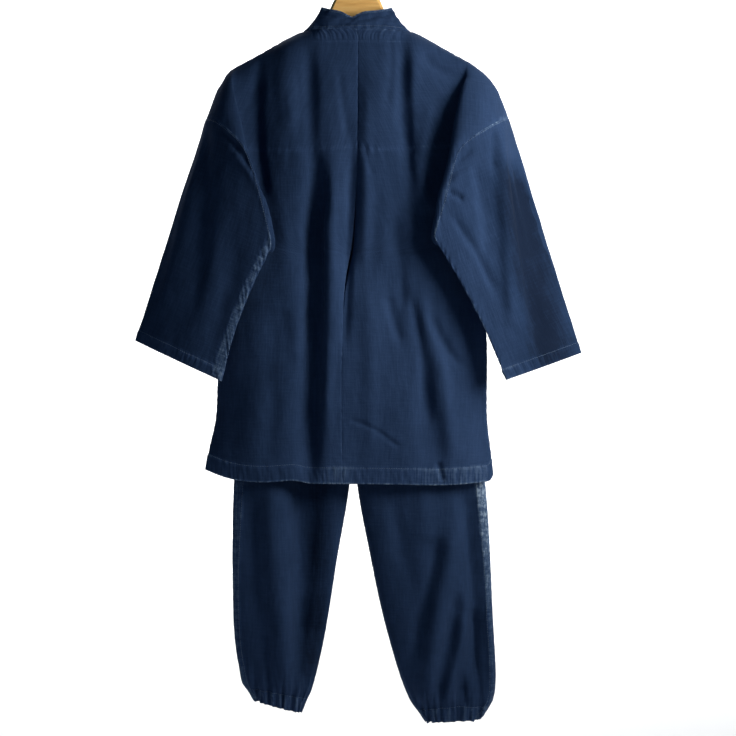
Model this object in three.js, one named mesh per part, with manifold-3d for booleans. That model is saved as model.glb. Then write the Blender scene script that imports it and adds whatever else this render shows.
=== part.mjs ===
// A samue set on a coat hanger: an indigo cotton jacket with wide sleeves, and trousers gathered at the
// ankles. Millimetres. +X is the wearer's right, +Y leaves the garment's front, +Z is up, and the origin is
// the top of the hook's inside, where a rail carries it. The cloth is a thin wall on a surface of rows
// (down the body) and columns.
import * as THREE from "three";
import { mergeVertices } from "three/addons/utils/BufferGeometryUtils.js";
import Module from "manifold-3d";

const wasm = await Module();
wasm.setup();

// Cloth and seams.
const CLOTH = 1.6;
const DOUBLED_CLOTH = 2.6;
const SEAM_GAP = 0.36;
const UNDERARM_GAP = 4.2; // more room where the sleeve turns sharply away from the side
const SHOULDER_GAP = 0.9;

// Jacket.
const NECK_HALF = 92;
const NECK_Z = -136;
const NECK_DEPTH = 34;
const SHOULDER_SLOPE = 0.54;
const BLADES_Z = -331; // where the back's fanned rows come level, over the shoulder blades
const HEM_Z = -879;
const VENT_TOP_Z = -775;
const COLLAR_WIDTH = 50;
const COLLAR_BACK_WIDTH = 33; // what stands up of the folded band behind the neck
const HEM_TURN = 28;
const HEM_EXTRA = 0.7; // how much a turned hem stands out from the cloth above it
const VENT_SPREAD = 4; // how far each side of the open vent swings off the side seam

// Trousers.
const WAIST_TOP_Z = -258;
const WAISTBAND = 40;
const WAIST_PRESSED = 11.6; // the waistband's whole thickness in the clips
const CROTCH_Z = -640;
const PANEL_COLUMNS = 16; // each leg panel's gathers are one column out and one column in
const GATHER_DEPTH = 3.2;

// Hanger.
const WOOD = 12;
const WOOD_EDGE = 4.5;
const WIRE = 4;
const HOOK_INSIDE = 22;
const BAR = 5;
const BAR_Z = -207;
const BAR_HALF = 184;
const CLIP_X = 118;
const CLIP_LENGTH = 26;
const CLIP_STEEL = 2.2;

const INDIGO = 0x1c2b45;
const PALE_WOOD = 0xcb9858;
const STEEL = 0xb9bcc0;

const v3 = (x, y, z) => new THREE.Vector3(x, y, z);
const mix = (a, b, share) => a + (b - a) * share;
const table = (names, rows) => rows.map((row) => Object.fromEntries(names.map((name, i) => [name, row[i]])));

// ------------------------------------------------------------ tables and curves

// A smooth value through a list at a place counted in steps of the list, with no overshoot.
function eased(values, place) {
  const last = values.length - 1;
  const i = Math.min(Math.max(Math.floor(place), 0), last - 1);
  const f = place - i;
  const slope = (k) => {
    if (k <= 0 || k >= last) return k <= 0 ? values[1] - values[0] : values[last] - values[last - 1];
    const before = values[k] - values[k - 1];
    const after = values[k + 1] - values[k];
    return before * after <= 0 ? 0 : (2 * before * after) / (before + after);
  };
  const [a, b, ma, mb] = [values[i], values[i + 1], slope(i), slope(i + 1)];
  return a + f * (ma + f * (3 * (b - a) - 2 * ma - mb + f * (2 * (a - b) + ma + mb)));
}

// The same through a table's column, at a place counted in rows.
const rowAt = (rows, place) =>
  Object.fromEntries(Object.keys(rows[0]).map((name) => [name, eased(rows.map((row) => row[name]), place)]));

// The place in a table, counted in rows, where its falling column "z" has a value.
function placeOf(rows, z) {
  if (z >= rows[0].z) return 0;
  for (let i = 1; i < rows.length; i++) {
    if (z >= rows[i].z) return i - (z - rows[i].z) / (rows[i - 1].z - rows[i].z);
  }
  return rows.length - 1;
}

// Points along a smooth curve through the guide points, with so many steps between each pair of guides.
function through(guides, steps) {
  const curve = new THREE.CatmullRomCurve3(guides, false, "centripetal");
  const points = [];
  steps.forEach((count, i) => {
    for (let k = 0; k < count; k++) points.push(curve.getPoint((i + k / count) / steps.length));
  });
  points.push(guides[guides.length - 1].clone());
  return points;
}

// Places from first to last by the step.
const places = (first, last, step) =>
  Array.from({ length: Math.round((last - first) / step) + 1 }, (_, i) => first + i * step);

// ------------------------------------------------------------ cloth

// A piece of cloth: rows of points, and at each point the direction that faces out.
function cloth(rows, { closed = false, outwards = 1 } = {}) {
  const last = rows.length - 1;
  const columns = rows[0].length;
  const normals = rows.map((row, r) =>
    row.map((_, c) => {
      const next = closed ? (c + 1) % columns : Math.min(c + 1, columns - 1);
      const before = closed ? (c + columns - 1) % columns : Math.max(c - 1, 0);
      const across = row[next].clone().sub(row[before]);
      const down = rows[Math.min(r + 1, last)][c].clone().sub(rows[Math.max(r - 1, 0)][c]);
      return across.cross(down).multiplyScalar(outwards).normalize();
    }),
  );
  return { rows, normals, closed, outwards };
}

// Two edges that are sewn together face out the same way, so their walls meet end to end.
function sew(edgeA, edgeB) {
  edgeA.forEach((at, i) => {
    const [a, b] = [at.cloth.normals[at.r], edgeB[i].cloth.normals[edgeB[i].r]];
    const shared = a[at.c].clone().add(b[edgeB[i].c]);
    if (shared.length() < 0.2) shared.copy(a[at.c]);
    shared.normalize();
    a[at.c] = shared;
    b[edgeB[i].c] = shared.clone();
  });
}
const columnEdge = (piece, c, first = 0, last = piece.rows.length - 1) =>
  places(first, last, 1).map((r) => ({ cloth: piece, r, c: c < 0 ? piece.rows[0].length + c : c }));
const rowEdge = (piece, r, first = 0, last = piece.rows[0].length - 1) =>
  places(first, last, 1).map((c) => ({ cloth: piece, r: r < 0 ? piece.rows.length + r : r, c }));

// Pushes the cloth out along its own facing by a rule of the point.
function press(piece, rule) {
  piece.rows = piece.rows.map((row, r) =>
    row.map((point, c) => {
      const normal = piece.normals[r][c];
      return point.clone().addScaledVector(normal, rule(point, normal));
    }),
  );
  return piece;
}

// A fold: a soft ridge or trough along a line in the hanging plane, fading at both ends.
const FOLD = ["fromX", "fromZ", "toX", "toZ", "halfWidth", "height"];
function foldHeight(folds, x, z) {
  let sum = 0;
  for (const fold of folds) {
    const [dx, dz] = [fold.toX - fold.fromX, fold.toZ - fold.fromZ];
    const length = Math.hypot(dx, dz);
    const along = ((x - fold.fromX) * dx + (z - fold.fromZ) * dz) / length;
    const aside = ((x - fold.fromX) * dz - (z - fold.fromZ) * dx) / length;
    const beyond = Math.max(0, -along, along - length) / (0.22 * length + fold.halfWidth);
    const fromEnd = Math.max(0, Math.min(along, length - along) / length);
    const inside = Math.min(1, fromEnd * 4 + 0.25);
    const across = Math.exp(-((aside / fold.halfWidth) ** 2));
    if (beyond < 1) sum += fold.height * across * inside * (1 - beyond) ** 2;
  }
  return sum;
}

// The closed wall of a piece of cloth. Each open edge is drawn back by half the seam gap.
function wall(piece, thickness = CLOTH, extra = () => 0, gap = () => SEAM_GAP) {
  const { rows, normals, closed, outwards } = piece;
  const [height, width] = [rows.length, rows[0].length];
  const drawnBack = rows.map((row, r) =>
    row.map((point, c) => {
      const moved = point.clone();
      const before = closed ? (c + width - 1) % width : Math.max(c - 1, 0);
      const next = closed ? (c + 1) % width : Math.min(c + 1, width - 1);
      const alongRow = row[next].clone().sub(row[before]).normalize();
      const [above, below] = [rows[Math.max(r - 1, 0)][c], rows[Math.min(r + 1, height - 1)][c]];
      const alongColumn = below.clone().sub(above).normalize();
      const draw = (other, edge) => {
        const inwards = other.clone().sub(point);
        inwards.addScaledVector(edge, -inwards.dot(edge));
        if (inwards.length() > 0.05) moved.addScaledVector(inwards.normalize(), gap(r, c) / 2);
      };
      if (r === 0) draw(rows[1][c], alongRow);
      if (r === height - 1) draw(rows[height - 2][c], alongRow);
      if (!closed && c === 0) draw(row[1], alongColumn);
      if (!closed && c === width - 1) draw(row[width - 2], alongColumn);
      return moved;
    }),
  );
  const positions = [];
  for (const sign of [1, -1])
    drawnBack.forEach((row, r) =>
      row.forEach((point, c) => {
        const out = sign > 0 ? thickness / 2 + extra(point, r, c) : -thickness / 2;
        positions.push(...point.clone().addScaledVector(normals[r][c], out).toArray());
      }),
    );
  const index = [];
  const at = (layer, r, c) => layer * height * width + r * width + (c % width);
  const quad = (a, b, c, d) => index.push(...(outwards > 0 ? [a, b, c, a, c, d] : [a, c, b, a, d, c]));
  const across = closed ? width : width - 1;
  for (let r = 0; r < height - 1; r++)
    for (let c = 0; c < across; c++) {
      quad(at(0, r, c), at(0, r, c + 1), at(0, r + 1, c + 1), at(0, r + 1, c));
      quad(at(1, r, c), at(1, r + 1, c), at(1, r + 1, c + 1), at(1, r, c + 1));
    }
  for (let c = 0; c < across; c++) {
    quad(at(0, 0, c), at(1, 0, c), at(1, 0, c + 1), at(0, 0, c + 1));
    quad(at(0, height - 1, c), at(0, height - 1, c + 1), at(1, height - 1, c + 1), at(1, height - 1, c));
  }
  if (!closed)
    for (let r = 0; r < height - 1; r++) {
      quad(at(0, r, 0), at(0, r + 1, 0), at(1, r + 1, 0), at(1, r, 0));
      quad(at(0, r, width - 1), at(1, r, width - 1), at(1, r + 1, width - 1), at(0, r + 1, width - 1));
    }
  const geometry = new THREE.BufferGeometry();
  geometry.setAttribute("position", new THREE.Float32BufferAttribute(positions, 3));
  geometry.setIndex(index);
  return geometry;
}

// ------------------------------------------------------------ jacket: its levels

// Levels down the jacket. Share is the way from the shoulder to the shoulder blades, and frontShare to the
// underarm.
const LEVELS = table(
  ["share", "z", "backY", "frontShare", "frontY"],
  [
    [0.0, NECK_Z, -34, 0.0, 0],
    [0.05, -145, -34.5, 0.03, 9.5],
    [0.16, -167, -35, 0.09, 17],
    [0.41, -216, -38, 0.22, 28],
    [0.71, -274, -41, 0.38, 35],
    [1.0, BLADES_Z, -43, 0.54, 38],
    [1.0, -412, -44, 0.72, 40],
    [1.0, -488, -45, 0.87, 41],
    [1.0, -506, -45, 0.95, 42],
    [1.0, -520, -45, 1.0, 42],
  ],
);
const BLADES = 5;
const UNDERARM = 9;

// The cloth between the back and the sleeve: it goes in at the root, out again under the pleat, round its
// edge and over its face to the armhole seam. Distances from the middle, then how far back, then the
// height.
const PLEAT = ["endX", "endY", "rootX", "rootY", "underX", "underY", "foldX", "foldY", "foldZ",
  "flapX", "flapY", "flapZ", "seamX", "seamY", "seamZ"];
const RIGHT_PLEAT = table(PLEAT, [
  [150, 0, 164, 0, 175, 0, 186, 0, -187, 224, 0, -219, 249, 0, -277],
  [150, -9.5, 165, -9.5, 176, -10, 186, -11, -191, 223, -12, -222, 248, -11, -279],
  [151, -18, 168, -19, 179, -22, 183, -27, -209, 216, -31, -236, 243, -28, -282],
  [150, -28, 172, -28, 181, -39, 172, -49, -242, 201, -60, -258, 231, -53, -289],
  [146, -30, 176, -25, 179, -47, 163, -65, -288, 184, -78, -297, 206, -76, -305],
  [142, -31, 178, -23, 175, -46, 155, -77, -339, 159, -84, -338, 164, -86, -337],
  [140, -34, 176, -29, 164, -51, 137, -79, -412, 140, -85, -411, 144, -87, -410],
  [136, -39, 170, -36, 148, -56, 117, -75, -488, 119, -81, -486, 123, -84, -483],
  [132, -42, 162, -42, 166, -44, 168, -46, -503, 168, -48, -503, 168, -50, -502],
  [126, -43, 156, -41, 172, -38, 185, -33, -518, 191, -29, -517, 196, -26, -516],
]);
const LEFT_PLEAT = table(PLEAT, [
  [160, 0, 182, 0, 196, 0, 210, 0, -201, 231, 0, -235, 248, 0, -279],
  [160, -9.5, 182, -9.5, 196, -10, 209, -11, -204, 230, -12, -238, 247, -11, -280],
  [161, -18, 184, -19, 200, -21, 207, -26, -216, 226, -29, -246, 243, -27, -282],
  [160, -27, 188, -25, 205, -34, 200, -44, -246, 217, -51, -264, 229, -47, -287],
  [154, -26, 185, -21, 196, -38, 188, -56, -288, 197, -66, -298, 206, -66, -306],
  [146, -26, 178, -21, 184, -41, 174, -68, -340, 177, -75, -337, 181, -77, -334],
  [134, -32, 162, -29, 162, -48, 148, -74, -412, 151, -80, -411, 155, -82, -410],
  [122, -40, 148, -38, 146, -53, 130, -72, -500, 132, -78, -498, 136, -81, -495],
  [122, -43, 158, -43, 164, -45, 167, -47, -514, 168, -49, -513, 168, -51, -512],
  [122, -44, 162, -41, 182, -37, 197, -31, -526, 202, -28, -525, 207, -25, -524],
]);

// The front of the armhole, from the shoulder's end to the underarm, at the same levels.
const ARMHOLE = ["x", "y", "z"];
const RIGHT_ARMHOLE = table(ARMHOLE, [
  [249, 0, -277], [250, 9, -282], [250, 14, -293], [248, 17, -318], [243, 17, -350],
  [237, 14, -382], [226, 7, -425], [213, -6, -470], [204, -16, -496], [196, -26, -516],
]);
const LEFT_ARMHOLE = table(ARMHOLE, [
  [248, 0, -279], [249, 9, -284], [249, 14, -295], [248, 17, -320], [244, 17, -352],
  [239, 14, -386], [230, 8, -430], [220, -3, -478], [213, -14, -504], [207, -25, -524],
]);

// The sides below the underarm, down to the hem. The side seam is open from the vent's top.
const SIDES = table(
  ["z", "rightX", "leftX", "sideY", "backY", "frontY"],
  [
    [-520, 196, 207, -25.5, -45, 42],
    [-590, 208, 219, -19, -46, 43],
    [-660, 214, 227, -13, -47, 44],
    [VENT_TOP_Z, 213, 231, -8, -50, 47],
    [-830, 220, 242, -12, -51, 49],
    [HEM_Z, 223, 248, -15, -52, 50],
  ],
);
const CROWD = 6; // how squarely the flattened body turns at its sides

// The hem rises where the cloth swings back.
const HEM = table(
  ["x", "rise"],
  [[-248, 22], [-226, 14], [-200, 6], [-145, 3], [-108, 8], [-60, 1], [60, 0], [140, -2], [205, 2], [223, 6]],
);
function hemRise(x) {
  const i = Math.min(Math.max(HEM.findIndex((row) => x < row.x), 1), HEM.length - 1);
  const share = Math.min(Math.max((x - HEM[i - 1].x) / (HEM[i].x - HEM[i - 1].x), 0), 1);
  return mix(HEM[i - 1].rise, HEM[i].rise, share);
}
const hemShare = (z) => Math.min(Math.max((VENT_TOP_Z - z) / (VENT_TOP_Z - HEM_Z), 0), 1);

// The line that the cloth crosses at the top: the shoulder, and between its ends the back of the neck.
const shoulderZ = (x) => NECK_Z - SHOULDER_SLOPE * Math.max(Math.abs(x) - NECK_HALF, 0);
const neckY = (x) => -NECK_DEPTH * Math.sqrt(Math.max(1 - (x / NECK_HALF) ** 2, 0));

// The largest folds of the back: ridges stand out, troughs go in.
const BACK_FOLDS = table(FOLD, [
  [-80, -170, -70, -330, 13, -8],
  [-66, -330, -62, -640, 15, -13],
  [-60, -600, -90, -850, 26, -9],
  [-40, -360, -36, -640, 12, 7],
  [-112, -170, -110, -300, 12, 6],
  [-3, -175, -8, -560, 9, -7],
  [14, -240, 18, -420, 16, 5],
  [75, -150, 92, -400, 10, -9],
  [92, -150, 104, -330, 10, 4],
  [110, -180, 172, -222, 11, -7],
  [40, -520, 76, -640, 12, -6],
  [98, -590, 145, -800, 16, 8],
  [108, -700, 128, -870, 15, -9],
  [128, -600, 150, -680, 11, -5],
  [-160, -590, -130, -670, 14, -6],
  [-165, -720, -175, -870, 20, 5],
]);

// ------------------------------------------------------------ jacket: back

const SEAM_PLACES = [0, 1, 2, 3, 4, 4.5, 5, 5.5, 6, 6.5, 7, 7.5, 8, 8.5, 9];
const LOWER_LEVELS = [-555, -595, -640, -690, -735, VENT_TOP_Z, -812, HEM_Z + HEM_TURN, HEM_Z];
const BACK_STEPS = [2, 2, 2, 3, 2, 2, 2, 2, 2];
const NECK_COLUMN = 6;
const LOWER_SHARES = [0.125, 0.25, 0.375, 0.6, 0.76, 0.86, 0.93, 0.97, 1];

// The centre-back seam swings to the left as it hangs.
const CENTRE_BACK = table(
  ["z", "x"],
  [[NECK_Z, 2], [-340, 1], [-480, -6], [-560, -18], [-700, -25], [HEM_Z, -23]],
);
const centreBackX = (z) => rowAt(CENTRE_BACK, placeOf(CENTRE_BACK, z)).x;
const lastOf = (list) => list[list.length - 1];

// Guide points of one half of the back, from its middle to the armhole seam.
function upperBackGuides(side, place) {
  const level = rowAt(LEVELS, place);
  const rows = side > 0 ? RIGHT_PLEAT : LEFT_PLEAT;
  const pleat = rowAt(rows, place);
  const neckShare = NECK_HALF / rows[0].endX;
  const open = Math.max(0, 1 - place / 3) ** 2;
  const bodyZ = (x) => (place <= BLADES ? mix(shoulderZ(x), BLADES_Z, level.share) : level.z);
  const body = [0, 1 / 3, 2 / 3, 1].map((part) => {
    const share = part * neckShare;
    const x = share * pleat.endX;
    const fall = mix(level.backY, pleat.endY, share ** 3);
    const z = bodyZ(x);
    const swing = place > 0 ? centreBackX(z) * (1 - part) : 0;
    return v3(side * x + swing, mix(fall, mix(neckY(x), pleat.endY, Math.min(place / 2, 1)), open), z);
  });
  const at = (name, z) => v3(side * pleat[name + "X"], pleat[name + "Y"], z ?? pleat[name + "Z"]);
  const flat = ["end", "root", "under"].map((name) => at(name, bodyZ(pleat[name + "X"])));
  return [...body, ...flat, at("fold"), at("flap"), at("seam")];
}

// The same below the underarm, where the body is a flattened tube.
function lowerBackGuides(side, z) {
  const level = rowAt(SIDES, placeOf(SIDES, z));
  const sideX = side > 0 ? level.rightX : level.leftX;
  return [0, ...LOWER_SHARES].map((share) => {
    const x = side * share * sideX;
    const swing = centreBackX(z) * Math.max(0, 1 - share / 0.6);
    const sideY = level.sideY - VENT_SPREAD * hemShare(z);
    return v3(x + swing, mix(level.backY, sideY, share ** CROWD), z + hemRise(x) * hemShare(z));
  });
}

function halfBack(side) {
  const plain = cloth(
    [
      ...SEAM_PLACES.map((place) => through(upperBackGuides(side, place), BACK_STEPS)),
      ...LOWER_LEVELS.map((z) => through(lowerBackGuides(side, z), BACK_STEPS)),
    ],
    { outwards: -side },
  );
  press(plain, (point, normal) => (normal.y < -0.5 ? foldHeight(BACK_FOLDS, point.x, point.z) : 0));
  return cloth(plain.rows, { outwards: -side });
}
const hemDoubling = (point) => (point.z < HEM_Z + HEM_TURN + hemRise(point.x) + 1 ? HEM_EXTRA : 0);
const [backLeft, backRight] = [halfBack(-1), halfBack(1)];

// ------------------------------------------------------------ jacket: fronts

// Where each front's edge meets the collar band: past the middle, a front lies over the other side.
const FRONT_EDGE = table(
  ["z", "x"],
  [[NECK_Z, 92], [-200, 86], [-300, 58], [-400, 18], [-500, -26], [-600, -52], [-740, -64], [HEM_Z, -68]],
);
const FRONT_CROWD = 9; // the front turns more squarely than the back
const OVERLAP = 5; // how far the wearer's left front stands off the right one
const edgeX = (z) => rowAt(FRONT_EDGE, placeOf(FRONT_EDGE, z)).x;
const overlap = (side, share) => (side < 0 ? OVERLAP * (1 - Math.max(share, 0) ** 2) : 0);

// The front's surface below the shoulder, by the distance to the wearer's own side.
function frontY(side, x, level, sideX, sideY) {
  const share = x / sideX;
  return mix(level.frontY + overlap(side, share), sideY, Math.max(share, 0) ** FRONT_CROWD);
}

function halfFront(side, backHalf) {
  const ridge = backHalf.rows[0].slice(NECK_COLUMN);
  const armhole = side > 0 ? RIGHT_ARMHOLE : LEFT_ARMHOLE;
  const count = ridge.length - 1;
  const [neck, tip] = [ridge[0], lastOf(ridge)];
  const ridgeShare = ridge.map((point) => (point.x - neck.x) / (tip.x - neck.x));
  const ridgeBow = ridge.map((point, c) => point.z - mix(neck.z, tip.z, ridgeShare[c]));
  const rows = [ridge.map((point) => point.clone())];
  SEAM_PLACES.slice(1).forEach((place, i) => {
    const level = rowAt(LEVELS, place);
    const arm = rowAt(armhole, place);
    const edgeZ = mix(NECK_Z, LEVELS[UNDERARM].z, level.frontShare);
    const row = ridge.map((_, c) => {
      const share = mix(ridgeShare[c], c / count, level.frontShare);
      const x = mix(edgeX(edgeZ), arm.x, share);
      const z = mix(edgeZ, arm.z, share) + ridgeBow[c] * (1 - level.frontShare) ** 2;
      return v3(side * x, frontY(side, x, level, arm.x, arm.y), z);
    });
    if (place === SEAM_PLACES[SEAM_PLACES.length - 1]) row[count] = lastOf(backHalf.rows[i + 1]).clone();
    rows.push(row);
  });
  LOWER_LEVELS.forEach((z, i) => {
    const level = rowAt(SIDES, placeOf(SIDES, z));
    const sideX = side > 0 ? level.rightX : level.leftX;
    const row = ridge.map((_, c) => {
      const x = mix(edgeX(z), sideX, c / count);
      const y = frontY(side, x, level, sideX, level.sideY + VENT_SPREAD * hemShare(z));
      return v3(side * x, y, z + hemRise(side * x) * hemShare(z));
    });
    if (z >= VENT_TOP_Z) row[count] = lastOf(backHalf.rows[SEAM_PLACES.length + i]).clone();
    rows.push(row);
  });
  return cloth(rows, { outwards: side });
}
const [frontLeft, frontRight] = [halfFront(-1, backLeft), halfFront(1, backRight)];

// ------------------------------------------------------------ jacket: sleeves

// The sleeves' folds, and each cuff as a flattened loop between its outer and inner corners.
const SLEEVE_FOLDS = table(FOLD, [
  [243, -330, 272, -640, 13, 6],
  [262, -345, 322, -600, 13, -7],
  [-238, -330, -262, -600, 13, -7],
  [-262, -360, -318, -610, 14, 6],
  [-190, -470, -236, -660, 13, -5],
]);
const CUFFS = table(
  ["side", "outerX", "outerY", "outerZ", "innerX", "innerY", "innerZ"],
  [
    [1, 369, -14, -665, 240, -72, -710],
    [-1, 364, -14, -645, 217, -72, -712],
  ],
);
const SLEEVE_RINGS = [0, 0.04, 0.11, 0.19, 0.28, 0.37, 0.46, 0.55, 0.64, 0.73, 0.82, 0.9, 0.95, 1];
const BACK_BULGE = 13;
const FRONT_BULGE = 12;
const INNER_BOW = 9;
const CORNER = SEAM_PLACES.indexOf(7);
const UNDER = SEAM_PLACES.length - 1;

function cuffPoint(cuff, k, around) {
  const outer = v3(cuff.side * cuff.outerX, cuff.outerY, cuff.outerZ);
  const inner = v3(cuff.side * cuff.innerX, cuff.innerY, cuff.innerZ);
  const seam = inner.clone().lerp(outer, 0.12).add(v3(0, 7, 0));
  if (k <= CORNER) {
    const share = k / CORNER;
    return outer.lerp(inner, share).add(v3(0, -BACK_BULGE * Math.sin(Math.PI * share), 0));
  }
  if (k <= UNDER) return inner.lerp(seam, (k - CORNER) / (UNDER - CORNER));
  const share = (k - UNDER) / (around - UNDER);
  return seam.lerp(outer, share).add(v3(0, FRONT_BULGE * Math.sin(Math.PI * share), 0));
}

function sleeve(cuff, backHalf, frontHalf) {
  const backSeam = SEAM_PLACES.map((_, r) => lastOf(backHalf.rows[r]));
  const frontSeam = SEAM_PLACES.map((_, r) => lastOf(frontHalf.rows[r]));
  const armhole = [...backSeam, ...frontSeam.slice(1, -1).reverse()];
  const rows = SLEEVE_RINGS.map((t) =>
    armhole.map((start, k) => {
      const end = cuffPoint(cuff, k, armhole.length);
      const point = start.clone().lerp(end, t);
      const nearUnderarm = Math.max(0, 1 - Math.abs(k - UNDER) / 4);
      point.y = mix(start.y, end.y, 1 - (1 - t) ** mix(2, 6, nearUnderarm));
      const nearFold = Math.max(0, 1 - Math.abs(k - CORNER) / 5);
      point.x += cuff.side * INNER_BOW * Math.sin(Math.PI * t) * nearFold;
      return point;
    }),
  );
  const plain = cloth(rows, { closed: true, outwards: cuff.side });
  const folded = plain.rows.map((row, r) =>
    row.map((point, k) => {
      const normal = plain.normals[r][k];
      const height = foldHeight(SLEEVE_FOLDS, point.x, point.z) * Math.min(1, r / 3) * Math.abs(normal.y);
      return Math.abs(normal.y) > 0.5 ? point.clone().addScaledVector(normal, height) : point;
    }),
  );
  return cloth(folded, { closed: true, outwards: cuff.side });
}
const sleeveRight = sleeve(CUFFS[0], backRight, frontRight);
const sleeveLeft = sleeve(CUFFS[1], backLeft, frontLeft);
const armholeGap = (r, c) => {
  if (r > 0) return SEAM_GAP;
  if (Math.abs(c - UNDER) < 4) return UNDERARM_GAP;
  return c > 2 * UNDER - 4 ? SHOULDER_GAP : SEAM_GAP;
};
const cuffDoubling = (_, r) => (r >= SLEEVE_RINGS.length - 2 ? HEM_EXTRA : 0);

// The pieces of the jacket share a facing where they are sewn.
sew(columnEdge(backLeft, 0), columnEdge(backRight, 0));
const halves = [
  [backLeft, frontLeft, sleeveLeft],
  [backRight, frontRight, sleeveRight],
];
halves.forEach(([backHalf, frontHalf, tube]) => {
  const vent = SEAM_PLACES.length + LOWER_LEVELS.indexOf(VENT_TOP_Z);
  sew(rowEdge(backHalf, 0, NECK_COLUMN), rowEdge(frontHalf, 0));
  sew(columnEdge(backHalf, -1, UNDER, vent), columnEdge(frontHalf, -1, UNDER, vent));
  sew(columnEdge(backHalf, -1, 1, UNDER - 1), rowEdge(tube, 0, 1, UNDER - 1));
  sew(columnEdge(frontHalf, -1, 1, UNDER - 1), rowEdge(tube, 0, UNDER + 1).reverse());
});

// ------------------------------------------------------------ jacket: collar and ties

const COLLAR_START = 0.8; // the thick band keeps clear of the thinner cloth's edge

// The band stands up behind the neck, leans in at its sides, and lies flat down each front.
function collarBand() {
  const neckLeft = backLeft.rows[0].slice(0, NECK_COLUMN);
  const neckRight = backRight.rows[0].slice(0, NECK_COLUMN);
  const seamOf = (front) => front.rows.map((row) => row[0]);
  const stations = [];
  const add = (point, lean, width) => stations.push({ point, lean: lean.normalize(), width });
  const frontLean = (seam, r, side) => {
    const along = seam[Math.min(r + 1, seam.length - 1)].clone().sub(seam[Math.max(r - 1, 0)]);
    const flat = v3(-side * Math.abs(along.z), 0, Math.abs(along.x));
    const towardsNeck = Math.max(0, 1 - r / 4);
    return flat.normalize().lerp(v3(-side * 0.77, 0.05, 0.64), towardsNeck ** 0.7);
  };
  const left = seamOf(frontLeft);
  const right = seamOf(frontRight);
  left.map((point, r) => [point, frontLean(left, r, -1)]).reverse()
    .forEach(([point, lean]) => add(point, lean, COLLAR_WIDTH));
  const backNeck = [...neckLeft.slice(1).reverse(), ...neckRight];
  backNeck.forEach((point) => {
    const share = Math.abs(point.x) / NECK_HALF;
    const lean = v3(-Math.sign(point.x) * 0.77 * share ** 3, 0.2 * (1 - share), 0.98);
    add(point, lean, mix(COLLAR_BACK_WIDTH, COLLAR_WIDTH, share ** 3));
  });
  right.forEach((point, r) => add(point, frontLean(right, r, 1), COLLAR_WIDTH));
  const rows = [0, 1 / 3, 2 / 3, 1].map((share) =>
    stations.map(({ point, lean, width }) => {
      const reach = mix(COLLAR_START, width, share);
      return point.clone().addScaledVector(lean, reach);
    }),
  );
  return cloth(rows);
}
const collar = collarBand();

// A tie lies down its front, made from the front's own surface and moved out.
const TIES = table(
  ["name", "side", "x", "topZ", "length", "width", "lift"],
  [
    ["jacket_tie_left", -1, -91, -560, 210, 14, 2.5],
    ["jacket_tie_right", 1, 150, -560, 230, 14, 2.4],
  ],
);
function tie({ side, x, topZ, length, width, lift }) {
  const rows = places(0, 6, 1).map((i) => {
    const z = topZ - (length * i) / 6;
    const level = rowAt(SIDES, placeOf(SIDES, z));
    const sideX = side > 0 ? level.rightX : level.leftX;
    return [0, 1, 2].map((c) => {
      const own = x + side * 2 * Math.sin(i * 1.1) - (width * (c - 1)) / 2;
      return v3(side * own, frontY(side, own, level, sideX, level.sideY) + lift, z);
    });
  });
  return cloth(rows, { outwards: -side });
}

// ------------------------------------------------------------ trousers

// Sections of each leg: the outer edge, the inner edge, half the depth, how open the crotch is, the
// gathers, and how far the section's outer edge hangs above its inner edge.
const LEG = ["z", "outerX", "innerX", "depth", "open", "gather", "slant"];
const RIGHT_LEG = table(LEG, [
  [WAIST_TOP_Z - WAISTBAND, 168, -2, 7, 1, 0, 0],
  [-350, 172, -2, 12, 1, 0, 0],
  [-430, 178, -3, 17, 1, 0, 0],
  [-520, 183, -4, 20, 1, 0, 0],
  [-585, 187, -5, 21, 0.9, 0, 0],
  [-622, 190, -5.4, 21, 0.5, 0, 0],
  [CROTCH_Z, 191, -4.4, 21, 0, 0, 0],
  [-700, 195, -4.2, 22, 0, 0, 0],
  [-790, 200, -4, 23, 0, 0, 0],
  [-880, 212, -2.5, 25, 0, 0, 0],
  [-985, 219, 20, 27, 0, 0, 0],
  [-1080, 222, 38, 28, 0, 0, 0],
  [-1160, 227, 60, 29, 0, 0.1, 0],
  [-1210, 229, 76, 28, 0, 0.4, 0],
  [-1243, 222, 92, 22, 0, 1, 1],
  [-1257, 216, 100, 20, 0, 1, 2],
  [-1272, 205, 111, 19, 0, 1.1, 4],
]);
const LEFT_LEG = table(LEG, [
  [WAIST_TOP_Z - WAISTBAND, 172, 2, 7, 1, 0, 0],
  [-350, 176, 2, 12, 1, 0, 0],
  [-430, 181, 3, 17, 1, 0, 0],
  [-520, 185, 4, 20, 1, 0, 0],
  [-585, 188, 5, 21, 0.9, 0, 0],
  [-622, 190, 5.4, 21, 0.5, 0, 0],
  [CROTCH_Z, 191, 7.6, 21, 0, 0, 0],
  [-700, 194, 7.8, 22, 0, 0, 0],
  [-790, 198, 8.2, 23, 0, 0, 0],
  [-880, 203, 9.5, 25, 0, 0, 0],
  [-985, 205, 31, 27, 0, 0, 0],
  [-1080, 204, 45, 28, 0, 0, 0],
  [-1148, 201, 57, 29, 0, 0.1, 3],
  [-1198, 192, 69, 27, 0, 0.4, 10],
  [-1228, 189, 79, 22, 0, 1, 18],
  [-1242, 181, 83, 20, 0, 1, 20],
  [-1257, 171, 90, 19, 0, 1.1, 21],
]);
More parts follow.
